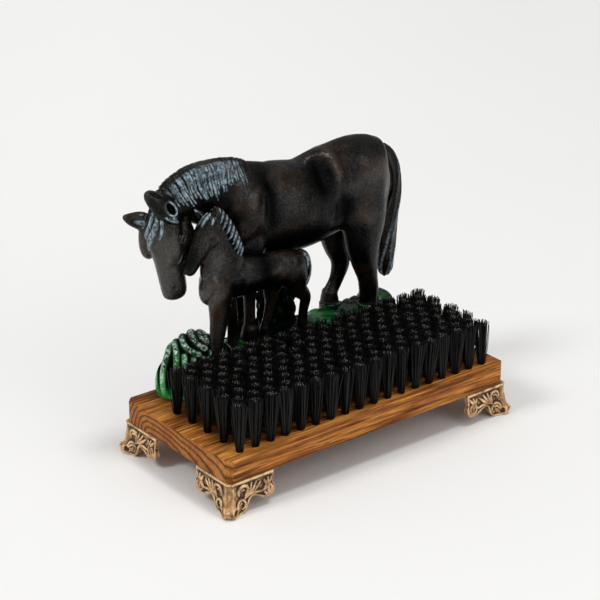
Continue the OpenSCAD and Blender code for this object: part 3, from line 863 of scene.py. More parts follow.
def mound():
    path = smooth_path(TURF, 8)
    arc = 40
    a = np.pi * np.arange(arc) / (arc - 1)
    c, q = np.cos(a), np.maximum(np.sin(a), 0)
    ring = np.stack([np.repeat(path[:, 0, None], arc, 1),
                     MARE_Y + path[:, 1, None] + path[:, 2, None] * np.sign(c) * np.abs(c) ** 0.6,
                     DECK + path[:, 3, None] * q ** 0.6], -1)
    return ring.reshape(-1, 3), [f[::-1] for f in tube_faces(len(path), arc)]


def hoof_pads(mare_radius, foal_radius):
    """Where each hoof stands, with a radius round it."""
    lines = ((MARE_HOOVES, MARE_Y, mare_radius), (FOAL_HOOVES, FOAL_Y, foal_radius))
    return [(x, line + y, radius) for hooves, line, radius in lines for x, y in hooves]


def leaf(points, wide, thick):
    """A leaf along points, thickest in its middle."""
    t = np.linspace(0, 1, len(points))
    w = wide * np.sin(np.pi * (0.12 + 0.83 * t)) ** 0.7
    d = thick * np.sin(np.pi * (0.15 + 0.78 * t)) ** 0.7
    return loft([[*p, wi, di] for p, wi, di in zip(points, w, d)], 6, 14, (1, 0, 0.2))


def blades():
    """Blades down both sides of the mound, right of the fan."""
    out = []
    x = BLADES_FROM
    while x < BLADES_TO:
        for side in (-1, 1):
            top = rng.uniform(84, 112)
            sway = rng.uniform(-6, 6)
            foot = 178 if rng.random() < 0.6 else rng.uniform(150, 172)
            angles = np.linspace(top, foot, 6)
            if side > 0:
                angles = 180 - angles
            points = [mound_point(np.clip(x + sway * (1 - k / 5) ** 1.5 + rng.uniform(-0.4, 0.4), -113, 116), ang)
                      for k, ang in enumerate(angles)]
            out.append(leaf(points, rng.uniform(2.2, 3.6), rng.uniform(1.5, 2.4)))
        x += rng.uniform(4.2, 6.4)
    return out


def bush_leaves():
    """Leaves in a spiral up the bush behind the foal."""
    out = []
    for k in range(BUSH_LEAVES):
        ang = k * 2.4
        z = 24 + 44 * (k / BUSH_LEAVES)
        r = np.array([np.interp(z, [58, 70], [15.5, 9]), np.interp(z, [42, 70], [8.0, 4.0])])
        base = np.array([-2 + r[0] * math.cos(ang), MARE_Y + 3 + r[1] * math.sin(ang), DECK + z])
        away = np.array([math.cos(ang), math.sin(ang), 0])
        out.append(leaf([base + away * d + [0, 0, up] for d, up in ((-2, -5), (0.6, 0), (0.8, 5), (-0.5, 9))],
                        2.6, 1.5))
    return out


def fan_grooves(co):
    """How far each point lies from the middle line of the nearest lobe: 1 is in a groove."""
    away = co - mound_point(*FAN)
    place = np.column_stack([away @ FAN_LEFT, away @ FAN_UP])
    nearest = np.full(len(co), FAN_WIDTH ** 2)
    for lobe in FAN_LOBES:
        for q in smooth_path(lobe, 10):
            nearest = np.minimum(nearest, ((place - q) ** 2).sum(1))
    return np.clip(np.sqrt(nearest) / FAN_WIDTH, 0, 1)


def make_turf():
    parts = [mound(), moved(loft(BUSH, 8, 30), (0, MARE_Y, DECK))]
    parts += [cylinder(x, y, radius, 32, DECK, HOOF) for x, y, radius in hoof_pads(8.5, 4.8)]
    parts += blades() + bush_leaves()
    obj = skin("cast_turf", parts, TURF_VOXEL)
    co = relaxed(obj, coords(obj), 3)
    # A fan of broad curling lobes over the left end, with deep grooves between them and a swelling at its right
    fan = step(-60, -68, co[:, 0]) * step(DECK + 1, DECK + 12, co[:, 2])
    groove = fan_grooves(co)
    co = co + normals(obj) * (fan * (FAN_RISE * np.sqrt(1 - groove ** 2) - FAN_SINK))[:, None]
    left = step(DECK + 24, DECK + 36, co[:, 2]) * step(-60, -66, co[:, 0])
    co[:, 2] += 3.0 * np.exp(-((co[:, 0] + 74) / 9) ** 2) * left
    set_coords(obj, co)
    co = relaxed(obj, co, 1)
    co[:, 2] = np.maximum(co[:, 2], DECK)
    # The hooves stand on flat pads
    for x, y, radius in hoof_pads(9.5, 5.2):
        near = ((co[:, :2] - [x, y]) ** 2).sum(1) < radius ** 2
        co[near, 2] = np.minimum(co[near, 2], HOOF)
    set_coords(obj, co)
    # Paint: painted highlights on the crests, painted shade in the grooves and on the bush, darker over the right
    # end, and bright green low on the fan and at one tuft
    rise = relief_of(obj, co, 16)
    bush = step(DECK + 27, DECK + 34, co[:, 2]) * step(-40, -20, co[:, 0]) * step(60, 40, co[:, 0])
    tuft = bell(co, 36, DECK + 26, 11, 9)
    right = 0.6 * step(-66, -52, co[:, 0]) * (1 - tuft)
    crest = fan * step(0.50, 0.20, groove)
    painted_mound_highlight = step(0.06, 0.30, rise) * (1 - fan) * (1 - bush) * (0.2 + 0.4 * tuft)
    set_mask(obj, "edge", crest + painted_mound_highlight)
    low = step(0.04, 0.25, -rise) * 0.7 * (1 - fan)
    set_mask(obj, "hollow", low + fan * step(0.34, 0.64, groove) + 0.9 * bush + right)
    bright = sum(weight * bell(co, x, DECK + z, along, up) for x, z, along, up, weight in FAN_BRIGHT)
    set_mask(obj, "bright", bright + 0.9 * tuft * (1 - bush))
    shade_smooth(obj)
    piece(obj, "turf_green", green_paint, "turf")


# Mare: X as on the board, Y from the mid-plane, Z from the hooves.

HEAD_ACROSS = np.array([-0.34, 0.94, 0])
HEAD_AHEAD = np.array([-0.94, -0.34, 0])


def hoof_part(spot, bottom, top, height):
    return prism(round_outline(*spot, bottom, 32), 0, height, round_outline(*spot, top, 32))


def lofts(paths, sides, across=(0, 1, 0)):
    return [loft(stations, 8, sides, across) for stations in paths]


def both_sides(paths):
    return [[[x, side * y, *rest] for x, y, *rest in stations] for side in (-1, 1) for stations in paths]


def mare_parts():
    # Hind legs, then forelegs
    parts = lofts([
        [[72, -8, 112, 11, 24], [75, -10, 92, 12, 25], [75, -11, 72, 11.5, 21.5], [75, -11, 55, 9.5, 17.5],
         [77, -10.5, 42, 8, 14], [79, -10, 32, 7, 11.5], [81, -10, 23, 6.5, 9.5], [82.5, -10, 13, 6.5, 9],
         [82.5, -10, 8, 6.5, 9], [82.5, -10, 4, 6.5, 8.5]],
        [[68, 8, 108, 11, 22], [66, 10, 88, 11, 22], [63, 11, 68, 10, 17], [64, 11, 50, 8, 11.5],
         [69, 10.5, 37, 6.5, 9.5], [69, 10, 29, 6, 8.5], [65, 10, 18, 5, 6.5], [60, 10, 10, 5, 6.5],
         [58, 10, 4, 6, 7]]], 40)
    for side, x in ((-1, -36), (1, -35)):
        y = side * 8
        parts += lofts([
            [[-36, side * 7, 108, 10, 18], [-38, side * 9, 86, 10, 15], [-37, side * 9, 68, 8, 10.5],
             [x, y, 52, 5.5, 7], [x, y, 40, 5.5, 6.5], [x, y, 32, 4.5, 5.2], [x, y, 16, 4.3, 5], [x, y, 8, 5.2, 6],
             [x, y, 4, 5.5, 6.5]]], 40)
    # Trunk and neck
    parts += lofts([
        [[-60, 0, 97, 5, 9], [-54, 0, 98, 14, 24], [-38, 0, 100, 18.5, 35], [-14, 0, 99.5, 20, 37.5],
         [15, 0, 96, 21, 37], [42, 0, 100.7, 21, 37.6], [68, 0, 108, 20.5, 33], [86, 0, 106, 19, 31.5],
         [98, 0, 104, 14, 26], [105, 0, 105, 5, 12]],
        [[-20, 0, 112, 15, 26], [-45, 0, 117, 15, 27], [-68, 0, 123, 12.5, 24.5], [-86, 0, 126, 11, 20],
         [-99, 0, 124, 10, 15], [-106, 0, 119, 7, 9]]], 64)
    # Muscles of shoulder, haunch and chest
    parts += lofts(both_sides([
        [[-24, 8, 130, 3, 6], [-30, 11, 117, 7, 12], [-37, 12.5, 103, 8.5, 15], [-43, 12, 90, 7.5, 12],
         [-42, 9, 78, 4, 6]],
        [[61, 8, 131, 4, 8], [69, 11, 120, 8.5, 18], [76, 11.5, 105, 9.6, 24], [79, 11.5, 88, 9, 21],
         [79, 11, 74, 5, 14]],
        [[-57, 6, 100, 3, 5], [-56, 7.5, 91, 7, 8], [-51, 8, 82, 6, 8], [-44, 8, 76, 3, 4]]]), 40)
    # Head
    parts += lofts([
        [[-105, 0, 129, 6, 6], [-106, 0, 123, 10, 12.5], [-107, -0.5, 109, 12.5, 15.5], [-106, -1, 95, 12, 16],
         [-104.5, -1.5, 82, 10.5, 13.5], [-103.3, -2, 69, 9.2, 11.8], [-101.6, -2, 59, 9, 11],
         [-100.6, -2, 53, 8.2, 10], [-100.3, -2, 50.2, 5.5, 7]]], 40, HEAD_ACROSS)
    # Brows and cheeks
    brow = np.array([[1, 0, 112, 4, 5], [0, 0, 104, 6, 8], [0, 0, 94, 6.5, 9], [1, 0, 86, 5.5, 8], [3, 0, 81, 2, 4]])
    cheek = [
        [-97, 0, 112, 2, 4], [-96, 0, 103, 4.5, 8], [-97, 0, 93, 4.5, 9], [-99.5, 0, 84, 3, 6], [-101, 0, 78, 1, 2]]
    for side, out, wide in ((-1, 9.0, 0.85), (1, 14.0, 1.0)):
        shift = np.array([-109, -2, 0]) + out * side * HEAD_ACROSS
        parts.append(moved(loft(brow * [1, 1, 1, wide, 1], 8, 30, HEAD_ACROSS), shift))
        parts.append(moved(loft(cheek, 8, 30, HEAD_ACROSS), 8.8 * side * HEAD_ACROSS))
    # Ears
    parts += lofts([
        [[-106, -11, 117, 5, 6], [-112, -11, 124, 7, 8.5], [-120, -10, 132, 6, 7.5], [-126, -9, 138, 4, 4.5],
         [-128, -9, 140, 1.5, 1.5]],
        [[-112, 9, 108, 4, 5], [-118, 13, 110, 5.5, 7], [-125, 17, 112, 4.2, 5], [-130, 20, 114, 1.5, 1.5]]],
        40, HEAD_ACROSS)
    return parts + [hoof_part(spot, 8, 6, 11) for spot in MARE_HOOVES] + lofts([MANE, TAIL], 30)


def strands_along(path, count, twist, radius, reach=0.85):
    """Strands lying round a hair tube [x, y, z, half width, half depth]."""
    p = smooth_path(path, 6)
    u, v = path_frame(p[:, :3], (0, 1, 0))
    out = []
    s = np.linspace(0, 1, len(p))
    for k in range(count):
        a = 2 * np.pi * k / count + twist * s + 0.3 * np.sin(9 * s + 2.1 * k)
        c = p[:, :3] + reach * (p[:, 3:4] * np.cos(a)[:, None] * u + p[:, 4:5] * np.sin(a)[:, None] * v)
        w = radius * (0.35 + 0.65 * np.sin(np.pi * np.clip(s * 0.9 + 0.08, 0, 1)))
        out.append(np.column_stack([c, w, w]))
    return out


# Along the crest of the neck: where the locks start and end, how far they stand out, how long they are, how far
# they slant and how strongly they are painted
MANE_FROM = -113.0
MANE_TO = -35
MANE_LIFT = 0.45
LOCK_LENGTH = [-113, -104, -95, -70, -45, -35], [10, 20, 27, 26, 19, 9]
LOCK_SLANT = [-113, -95, -60], [0.45, 0.40, 0.02]
LOCK_PAINT = [-112, -104, -98, -58, -47, -41, -36], [0.3, 0.9, 1, 1, 0.8, 0.3, 0]


def mane_strands(tree):
    """Locks from the crest down both sides of the neck, each with how strongly it is painted."""
    out = []
    crest = smooth_path(MANE, 12)[::-1]
    for side in (-1, 1):
        x = MANE_FROM
        while x < MANE_TO:
            y0, z0 = (np.interp(x, crest[:, 0], crest[:, k]) for k in (1, 2))
            top = z0 + np.interp(x, crest[:, 0], crest[:, 4])
            length = np.interp(x, *LOCK_LENGTH) * rng.uniform(0.72, 1.12)
            slant = np.interp(x, *LOCK_SLANT)
            paint = np.interp(x, *LOCK_PAINT) * rng.uniform(0.6, 1)
            for split in (-1, 1):
                reach = length * rng.uniform(0.8, 1)
                thick = rng.uniform(0.75, 1.1)
                lean = slant + split * rng.uniform(0.0, 0.09) + rng.uniform(-0.04, 0.04)
                rows = []
                for q in np.linspace(0, 1, 9):
                    w = thick * (1 - 0.75 * q ** 2.5)
                    rows.append([x + split * 0.55 + lean * reach * q ** 1.4 + 0.5 * math.sin(3 * q + x),
                                 y0 + side * (1.0 + 11 * q ** 0.6), top - reach * q, w, w])
                out.append((laid_on(tree, rows, MANE_LIFT), paint, 0.08))
            x += rng.uniform(2.3, 3.3)
    return out


TAIL = [
    [101, 0, 124.5, 4, 5], [108, 0, 116, 5, 7], [113, 0, 103, 5.5, 7.5], [114, 0, 85, 6, 8], [111, 0, 66, 6.5, 8.5],
    [108.5, 0, 46, 6.5, 9.2], [108, 0, 30, 6, 9], [108.8, 0, 19, 4.5, 6.8], [109.5, 0, 13.5, 1.5, 2.5]]
MANE = [
    [-24, 0, 133, 3, 4], [-45, -2, 141, 6, 6], [-68, -3, 144, 8, 6], [-86, -3, 143, 8, 6], [-100, -2, 137, 7, 6],
    [-110, -1, 128, 6, 6], [-118, -1, 118, 4, 4]]
FORELOCK = [
    [[-115, -4.5, 124, 1.2, 1.0], [-119.6, -4.5, 118.6, 1.7, 1.4], [-122, -3.4, 110.3, 2.1, 1.6],
     [-121.5, 1.5, 103, 1.6, 1.3], [-119.8, 4.5, 98.5, 0.4, 0.4]],
    [[-114, -7, 123, 1.4, 1.2], [-118, -8, 117.7, 2.2, 1.6], [-121, -7.3, 108.2, 3.0, 2.0],
     [-122.5, -3.5, 99, 2.6, 1.7], [-120, 3.0, 89.5, 0.5, 0.5]],
    [[-113, -11, 122, 1.2, 1.0], [-117.8, -12.4, 117, 1.6, 1.2], [-117.4, -12.0, 109.8, 1.7, 1.3],
     [-118.4, -10.8, 102.6, 0.4, 0.4]]]


def painted_points(strands):
    """Points, radii and paint weights along (stations, paint, start) strands: bare up to start, thin at the tip."""
    points, radii, weights = [], [], []
    for rows, paint, start in strands:
        p = smooth_path(rows, 6)
        s = np.linspace(0, 1, len(p))
        points.append(p[:, :3])
        radii.append(0.55 + 1.08 * p[:, 3])
        weights.append(paint * np.interp(s, [0, start, start + 0.08, 0.85, 1], [0, 0.3, 1, 1, 0.6]))
    return np.concatenate(points), np.concatenate(radii), np.concatenate(weights)


BODY_VOXEL = 0.7
CAST_VOXEL = 0.55
FOAL_BODY_VOXEL = 0.5
FOAL_CAST_VOXEL = 0.45
CAST_GRAIN = 0.025
WEAR_AND_LIGHT_ALL_OVER = 0.22


def finish_figure(obj, co, strands, fills, wear_and_painted_light, offset):
    """Sets the paint masks of a figure: strands on its raised hair, fills also in hollows, rubbed spots with painted
    light and shade by place.
    """
    hair = closeness(co, *painted_points(strands))
    set_coords(obj, co + np.array(offset))
    rise = relief_of(obj, co, 8)
    wide = relief_of(obj, co, 40)
    paint = step(0.08, 0.45, hair) * step(-0.10, 0.07, rise)
    if fills:
        paint = np.maximum(paint, step(0.1, 0.5, closeness(co, *painted_points(fills))))
    set_mask(obj, "hair", paint)
    # Raised places are painted paler: rubbed paint and a painted highlight
    set_mask(obj, "edge", step(0.10, 0.6, wide) * (1 - step(0.05, 0.4, hair)))
    wear_and_light_level = np.full(len(co), WEAR_AND_LIGHT_ALL_OVER)
    for x, z, along, up, amount in wear_and_painted_light:
        wear_and_light_level += amount * bell(co, x, z, along, up)
    set_mask(obj, "wear_and_painted_light", wear_and_light_level)
    set_coords(obj, grained(obj, co, CAST_GRAIN) + np.array(offset))
    shade_smooth(obj)


EAR_RING = (-112.4, -17.4, 126.8)
EAR_OUT = (-0.35, -0.85, 0.40)
EAR_LONG = (-0.5, 0, 1)
EAR_RIM = (5.7, 3.4)
EAR_RIM_HALF = 0.75
FORELOCK_LIFT = 0.5
EAR_TUFT_LIFT = 0.3
EAR_TUFT = [
    [[-118.5, -16.0, 122.0, 0.6, 0.6], [-113.5, -16.6, 119.3, 1.7, 1.5], [-108, -15.2, 116.5, 1.6, 1.4],
     [-102.5, -12.3, 113.0, 0.4, 0.4]],
    [[-115, -17.0, 121.0, 0.6, 0.6], [-110, -16.6, 119.0, 1.4, 1.3], [-104.5, -14.2, 116.0, 0.4, 0.4]]]
# The far ear's painted opening
FAR_EAR = [[-118.6, 8.0, 109.6, 2.0, 1], [-122.0, 10.0, 110.0, 2.3, 1], [-125.4, 12.2, 110.8, 1.6, 1]]
# Ear openings and nostrils, as dented() takes them
MARE_DENTS = [
    (EAR_RING, (5.0, 2.9, 6.0), EAR_OUT, EAR_LONG, 5.0),
    ((-121.8, -12.8, 138.0), (5.5, 2.0, 3.0), (0.05, -0.78, 0.63), (-0.75, 0.1, 0.6), 2.4),
    ((-122.6, 10.2, 110.0), (6.0, 3.4, 4.0), (-0.62, -0.78, 0.05), (-18, 11, 6), 2.4)]
FOAL_DENTS = [
    ((-79.2, -6.6, 117.6), (4.4, 1.7, 3.0), (-0.8, -0.55, 0.2), (-0.2, -0.2, 1), 1.8),
    ((-85.8, 3.2, 114.2), (3.8, 1.6, 3.0), (-0.7, -0.6, -0.4), (-0.6, 0.2, 0.7), 1.6)]
for end in (-1, 1):
    nose = HEAD_AHEAD + 0.8 * end * HEAD_ACROSS
    spot = np.array([-101, -2, 61]) + 6.2 * end * HEAD_ACROSS + 8.2 * HEAD_AHEAD
    MARE_DENTS.append((spot, (1.8, 2.6, 3.0), nose, np.cross((0, 0, 1), nose), 0.9))
    nose = (-0.8, end * 0.6, -0.2)
    FOAL_DENTS.append(((-99.5, end * 3, 76.5), (1.1, 1.5, 2.2), nose, np.cross((0, 0, 1), nose), 1.0))
MARE_EYE = 2.7
FOAL_EYE = 1.6
MARE_EYES = [((-102.6, -14.6, 100.9), -HEAD_ACROSS), ((-113.6, 16.0, 100.9), HEAD_ACROSS)]
# The mare is kept this far inside the top and the back of the solids' box
TOP_GAP = 0.35
BACK_GAP = 0.4
# Swellings and hollows of the flanks, as swell() takes them
MUSCLES = [
    (4, 100, 18, 22, 2.0), (28, 122, 8, 15, -2.6), (41, 125, 4.5, 11, 3.4), (47, 95, 8, 18, -3.0),
    (55, 107, 8, 9, 1.6), (80, 104, 16, 22, 1.2), (66, 80, 8, 10, 1.6), (-22, 104, 6, 24, -2.8),
    (-38, 106, 11, 20, 1.6), (-54, 108, 6, 20, -2.4), (-30, 74, 7, 7, 1.6), (-74, 108, 16, 4, -1.8),
    (95, 92, 5, 16, -1.6), (-42, 128, 10, 6, 1.2)]
# Where the paint is rubbed lighter or lies darkest, with painted light and shade: lit places lighter, the belly, neck
# and hollows darker; along, up, reach along, reach up, amount
RUBS_AND_PAINTED_LIGHT = [
    (-112, 76, 14, 26, 0.62), (-116, 102, 10, 12, 0.36), (-42, 122, 10, 14, 0.34), (-2, 112, 15, 12, 0.36),
    (78, 116, 18, 16, 0.42), (41, 126, 3.5, 9, 0.5), (27, 122, 8, 16, -0.30), (-23, 110, 8, 24, -0.26),
    (48, 92, 11, 13, -0.30), (54, 107, 9, 8, 0.28), (69, 82, 12, 12, 0.22), (99, 95, 4, 25, 0.34),
    (-50, 138, 10, 6, 0.25), (-10, 72, 40, 8, -0.30), (-66, 112, 14, 12, -0.34), (-6, 134, 20, 5, 0.26),
    (20, 134, 14, 5, 0.20), (52, 40, 6, 30, 0.36)]
# The same for the foal: painted light on its lit chest, foreleg and head, painted shade under its belly
FOAL_RUBS_AND_PAINTED_LIGHT = [
    (-84, 57, 8, 14, 0.66), (-76, 80, 8, 12, 0.42), (-50, 66, 9, 8, 0.22), (-16, 62, 11, 8, 0.30),
    (-78, 25, 6, 22, 0.50), (-86, 98, 8, 11, 0.30), (-34, 58, 5, 14, -0.25), (-30, 44, 22, 6, -0.35)]
FOAL_MUSCLES = [
    (-66, 62, 8, 9, 1.2), (-52, 60, 4, 12, -1.4), (-34, 57, 10, 9, 0.9), (-17, 58, 4, 12, -1.5), (-4, 58, 8, 9, 1.0),
    (-76, 52, 5, 6, 1.2), (-72, 84, 4, 10, -0.9), (-80, 64, 4, 5, 1.2)]


def eye_parts(centre, radius, out, slit):
    """An eyeball with an upper and a lower lid."""
    n, d, q = (np.array(v, float) / np.linalg.norm(v) for v in (out, slit, np.cross(out, slit)))
    c = np.array(centre, float)
    ball = [[*(c + d * radius * h), radius * w, radius * w]
            for h, w in ((-1, 0.05), (-0.8, 0.6), (-0.3, 0.95), (0.3, 0.95), (0.8, 0.6), (1, 0.05))]
    parts = [loft(ball, 4, 20, n)]
    for turn in (-1, 1):
        lid = [[*(c + d * radius * 1.35 * math.cos(a) + q * turn * radius * 0.85 * math.sin(a)
                  + n * radius * (0.45 + 0.4 * math.sin(a))), radius * 0.3, radius * 0.3]
               for a in np.linspace(0, np.pi, 7)]
        parts.append(loft(lid, 4, 10, n))
    return parts


def make_mare():
    body = skin("mare_body", mare_parts(), BODY_VOXEL)
    co = relaxed(body, coords(body), 5)
    # Calmer between the muscles, but not at head and hooves, and calmest along the crest
    co = eased(body, co, step(-100, -84, co[:, 0]) * step(11, 20, co[:, 2]), 26)
    crest = step(106, 116, co[:, 2]) * step(-28, -40, co[:, 0]) * step(-106, -98, co[:, 0])
    co = eased(body, co, crest, 45)
    set_coords(body, swell(co, MUSCLES))
    tree = surface_of(body)
    mane = mane_strands(tree)
    tail = strands_along(TAIL, 13, 1.3, 1.5, 0.92)
    forelock = [laid_on(tree, rows, FORELOCK_LIFT) for rows in FORELOCK]
    ear_tuft = [laid_on(tree, rows, EAR_TUFT_LIFT) for rows in EAR_TUFT]
    axes = axes_of(EAR_OUT, EAR_LONG)
    rim = [[*(np.array(EAR_RING) + EAR_RIM[0] * math.cos(a) * axes[0] + EAR_RIM[1] * math.sin(a) * axes[1]),
            EAR_RIM_HALF, EAR_RIM_HALF] for a in np.linspace(0, 2 * np.pi, 15)]
    extra = [loft(rows, 3, 10) for rows in [m[0] for m in mane] + tail]
    extra += [loft(rows, 6, 12) for rows in forelock + ear_tuft]
    extra.append(loft(rim, 4, 10, EAR_OUT))
    for place, out in MARE_EYES:
        extra += eye_parts(place, MARE_EYE, out, (-0.5, 0, -0.86))
    obj = skin("cast_mare", [as_part(body)] + extra, CAST_VOXEL)
    bpy.data.objects.remove(body)
    co = dented(relaxed(obj, coords(obj), 2), MARE_DENTS)
    co[:, 2] = np.minimum(co[:, 2], cad_box[1][2] / MM - HOOF - TOP_GAP)
    co[:, 1] = np.minimum(co[:, 1], cad_box[1][1] / MM - MARE_Y - BACK_GAP)
    # The tail's strands are painted unevenly, from different heights down
    strands = mane + [(r, 0.45 + 0.11 * (k * 3 % 5), 0.34 + 0.09 * (k * 5 % 4)) for k, r in enumerate(tail)]
    strands += [(r, 1.0, 0.1) for r in forelock + ear_tuft] + [(rim, 0.8, 0)]
    finish_figure(obj, co, strands, [(FAR_EAR, 1.0, 0)], RUBS_AND_PAINTED_LIGHT, (0, MARE_Y, HOOF))
    piece(obj, "iron_black", iron, "mare")


# Foal: X as on the board, Y from its mid-plane, Z from the hooves.

FOAL_MANE = [
    [-80, -1, 112, 2, 2.5], [-72, -1, 115, 3, 4], [-63, -1, 104, 4, 4.5], [-56, -1, 90, 4.5, 4.5],
    [-50, -1, 78, 2, 3]]
FOAL_FORELOCK = [
    [[-75.5, -5.6, 121.5, 0.5, 0.5], [-76.5, -5.4, 115, 1.0, 1.0], [-79.5, -5.6, 110.8, 1.2, 1.1],
     [-81, -5.8, 108, 0.4, 0.4]],
    [[-76.5, -1.5, 115.8, 0.8, 0.8], [-81, -2.2, 114.0, 1.4, 1.2], [-85.5, -2.4, 109.5, 1.2, 1.0],
     [-88, -2.6, 106, 0.4, 0.4]],
    [[-77, 1.2, 115.8, 0.8, 0.8], [-82, 0.8, 113.6, 1.4, 1.2], [-86.5, 0.6, 109.2, 1.2, 1.0],
     [-89, 0.6, 105, 0.4, 0.4]],
    [[-81.5, 2.5, 112.5, 0.6, 0.6], [-85.2, 3.6, 115.6, 0.9, 0.9], [-88.2, 5.2, 119.4, 0.4, 0.4]]]
FOAL_TAIL = [[4, 0, 65, 2.5, 3], [10, 0, 60, 3.5, 4], [12, 0, 50, 4, 4.5], [11, 0, 40, 3, 4], [8, 0, 33, 1, 1.5]]


def foal_parts():
    # Forelegs, hind legs, trunk, neck and head
    parts = lofts([
        [[-72, -4, 58, 6, 12], [-74, -5, 44, 6, 10], [-74.5, -4, 33, 5.4, 8], [-74.3, -3, 25, 5, 7.4],
         [-75, -2, 14, 4.4, 6.2], [-76, -2, 6, 4, 5]],
        [[-66, 4, 58, 5, 11], [-62, 5, 44, 5, 8.5], [-57, 5, 33, 4.2, 5.6], [-55, 6, 25, 4, 4.8],
         [-55, 6, 14, 3.6, 4.2], [-55, 6, 6, 3.6, 4.2]],
        [[-4, -4, 58, 6, 11], [-2, -5, 46, 6, 11], [2, -4, 36, 4.8, 7.5], [9, -3, 27, 4, 5], [8, -2, 16, 3.5, 4],
         [7, -2, 6, 3.6, 4.2]],
        [[-10, 4, 58, 6, 11], [-14, 5, 46, 6, 11], [-18, 5, 36, 4.5, 7], [-18, 6, 27, 3.8, 5],
         [-21, 6, 16, 3.3, 3.8], [-24, 6, 6, 3.4, 4]],
        [[-87.5, 0, 57, 3, 6.5], [-82, 0, 57, 8.5, 14.5], [-66, 0, 59, 9.5, 17], [-48, 0, 59, 10, 16],
         [-28, 0, 57, 10, 14.5], [-10, 0, 56, 9.5, 14.5], [3, 0, 54, 8, 12.5], [9, 0, 54, 4, 7]],
        [[-63, 0, 59, 9.5, 19.5], [-68.5, 0, 73, 8.5, 19.5], [-71.5, 0, 85, 7.4, 14.5], [-73.5, 0, 97, 6.4, 11.2],
         [-76, 0, 108, 5.2, 8], [-77, 0, 114, 3, 4]],
        [[-74, 0, 113, 4.5, 5], [-77.5, 0, 108, 6.8, 8.8], [-82.5, 0, 99, 7.4, 10.2], [-88.5, 0, 89, 6.2, 8.2],
         [-94.7, 0, 80, 5.2, 6.4], [-98.4, 0, 74.5, 4.6, 5.1], [-100, 0, 72, 2.2, 2.7]]], 32)
    # Ridge of the nose, then the ears
    parts += lofts([
        [[-87, 0, 107.5, 0.8, 0.8], [-91, 0, 101, 1.2, 1.2], [-95.5, 0, 92, 1.2, 1.2], [-99.3, 0, 83.5, 1.1, 1.1],
         [-100.8, 0, 79, 0.6, 0.6]]], 14)
    parts += lofts([
        [[-75, -3.5, 109, 3, 3], [-75.6, -4.6, 115.5, 3, 3.2], [-77, -5.6, 120, 2, 2.2],
         [-77.8, -6.2, 123, 0.6, 0.6]],
        [[-79, 3.2, 108.5, 3, 3], [-82.5, 4.6, 113.5, 2.8, 3], [-86, 5.2, 117.2, 2, 2],
         [-88.4, 5.6, 119.6, 0.6, 0.6]]], 20)
    # Brows and cheeks, then haunches and shoulders
    parts += lofts(both_sides([
        [[-79, 4.6, 106, 1.5, 2], [-81.5, 5.2, 102.5, 2.2, 2.6], [-84.5, 4.8, 98, 1.6, 2]],
        [[-76, 4, 99, 2, 3], [-78.5, 4.6, 95, 2.8, 5], [-82, 4, 90, 1.8, 3]]]), 20)
    parts += lofts(both_sides([
        [[-2, 4, 66, 3, 6], [-3, 5, 57, 5, 10], [-3, 5, 48, 4, 9]],
        [[-62, 4, 72, 3, 5], [-67, 5, 62, 5, 9], [-71, 4.6, 52, 4, 7]]]), 24)
    return parts + [hoof_part(spot, 4.4, 3.8, 8) for spot in FOAL_HOOVES] + lofts([FOAL_MANE, FOAL_TAIL], 20)


def make_foal():
    hair = strands_along(FOAL_TAIL, 8, 0.8, 1.0)
    # Short locks across the crest, one below the other, and the forelock between the ears
    crest = smooth_path(FOAL_MANE, 6)
    for i in range(2, len(crest) - 2, 2):
        x, y, z, w, d = crest[i]
        for side in (-1, 1):
            hair.append([[x + 0.8, side * 0.4 - 1, z + d * 0.9, 1.2, 1.1],
                         [x - 0.2, side * w * 0.9 - 1, z + d * 0.3, 1.35, 1.1],
                         [x - 2.4, side * (w + 0.6) - 1, z - d * 0.7, 1.1, 0.9],
                         [x - 4.2, side * (w + 0.4) - 1, z - d * 1.3, 0.3, 0.3]])
    hair += FOAL_FORELOCK
    body = skin("foal_body", foal_parts(), FOAL_BODY_VOXEL)
    co = relaxed(body, coords(body), 4)
    calm = step(-76, -66, co[:, 0]) * step(7, 12, co[:, 2])
    set_coords(body, swell(eased(body, co, calm, 16), FOAL_MUSCLES))
    parts = [as_part(body)] + [loft(rows, 4, 10) for rows in hair]
    for side in (-1, 1):
        parts += eye_parts((-82.4, side * 6.2, 100.0), FOAL_EYE, (0.1, side, 0), (-0.6, 0, -0.8))
    obj = skin("cast_foal", parts, FOAL_CAST_VOXEL)
    bpy.data.objects.remove(body)
    co = dented(relaxed(obj, coords(obj), 2), FOAL_DENTS)
    finish_figure(obj, co, [(r, 0.9, 0.1) for r in hair], [], FOAL_RUBS_AND_PAINTED_LIGHT, (0, FOAL_Y, HOOF))
    piece(obj, "iron_black", iron, "foal")


make_board()
for row_number in range(ROWS):
    make_bristles(row_number)
make_feet()
make_turf()
make_mare()
make_foal()
for name in ("foot_screws", "figure_washers", "figure_bolts"):
    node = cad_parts[name]
    node.data.materials.clear()
    node.data.materials.append(steel)


# Stage, light and camera

FLOOR = 9000
# Which way the dome is brightest, and its levels at the side and there
DOME_BRIGHT = (-0.30, -0.10, 0.95)
DOME_LEVELS = ((0.0, 0.24), (0.9, 0.60))
DOME_WARMTH = 0.985
# The camera solved from the photo: turn and height in degrees, then millimetres back, right and up from its target
SENSOR = 36
LENS = 110.28
AZIMUTH = -38.46
ELEVATION = 23.18
DISTANCE = 1315.86
SHIFT_RIGHT = 43.54
SHIFT_UP = 108.5
TARGET = (-119.4, -56.2, 44.5)


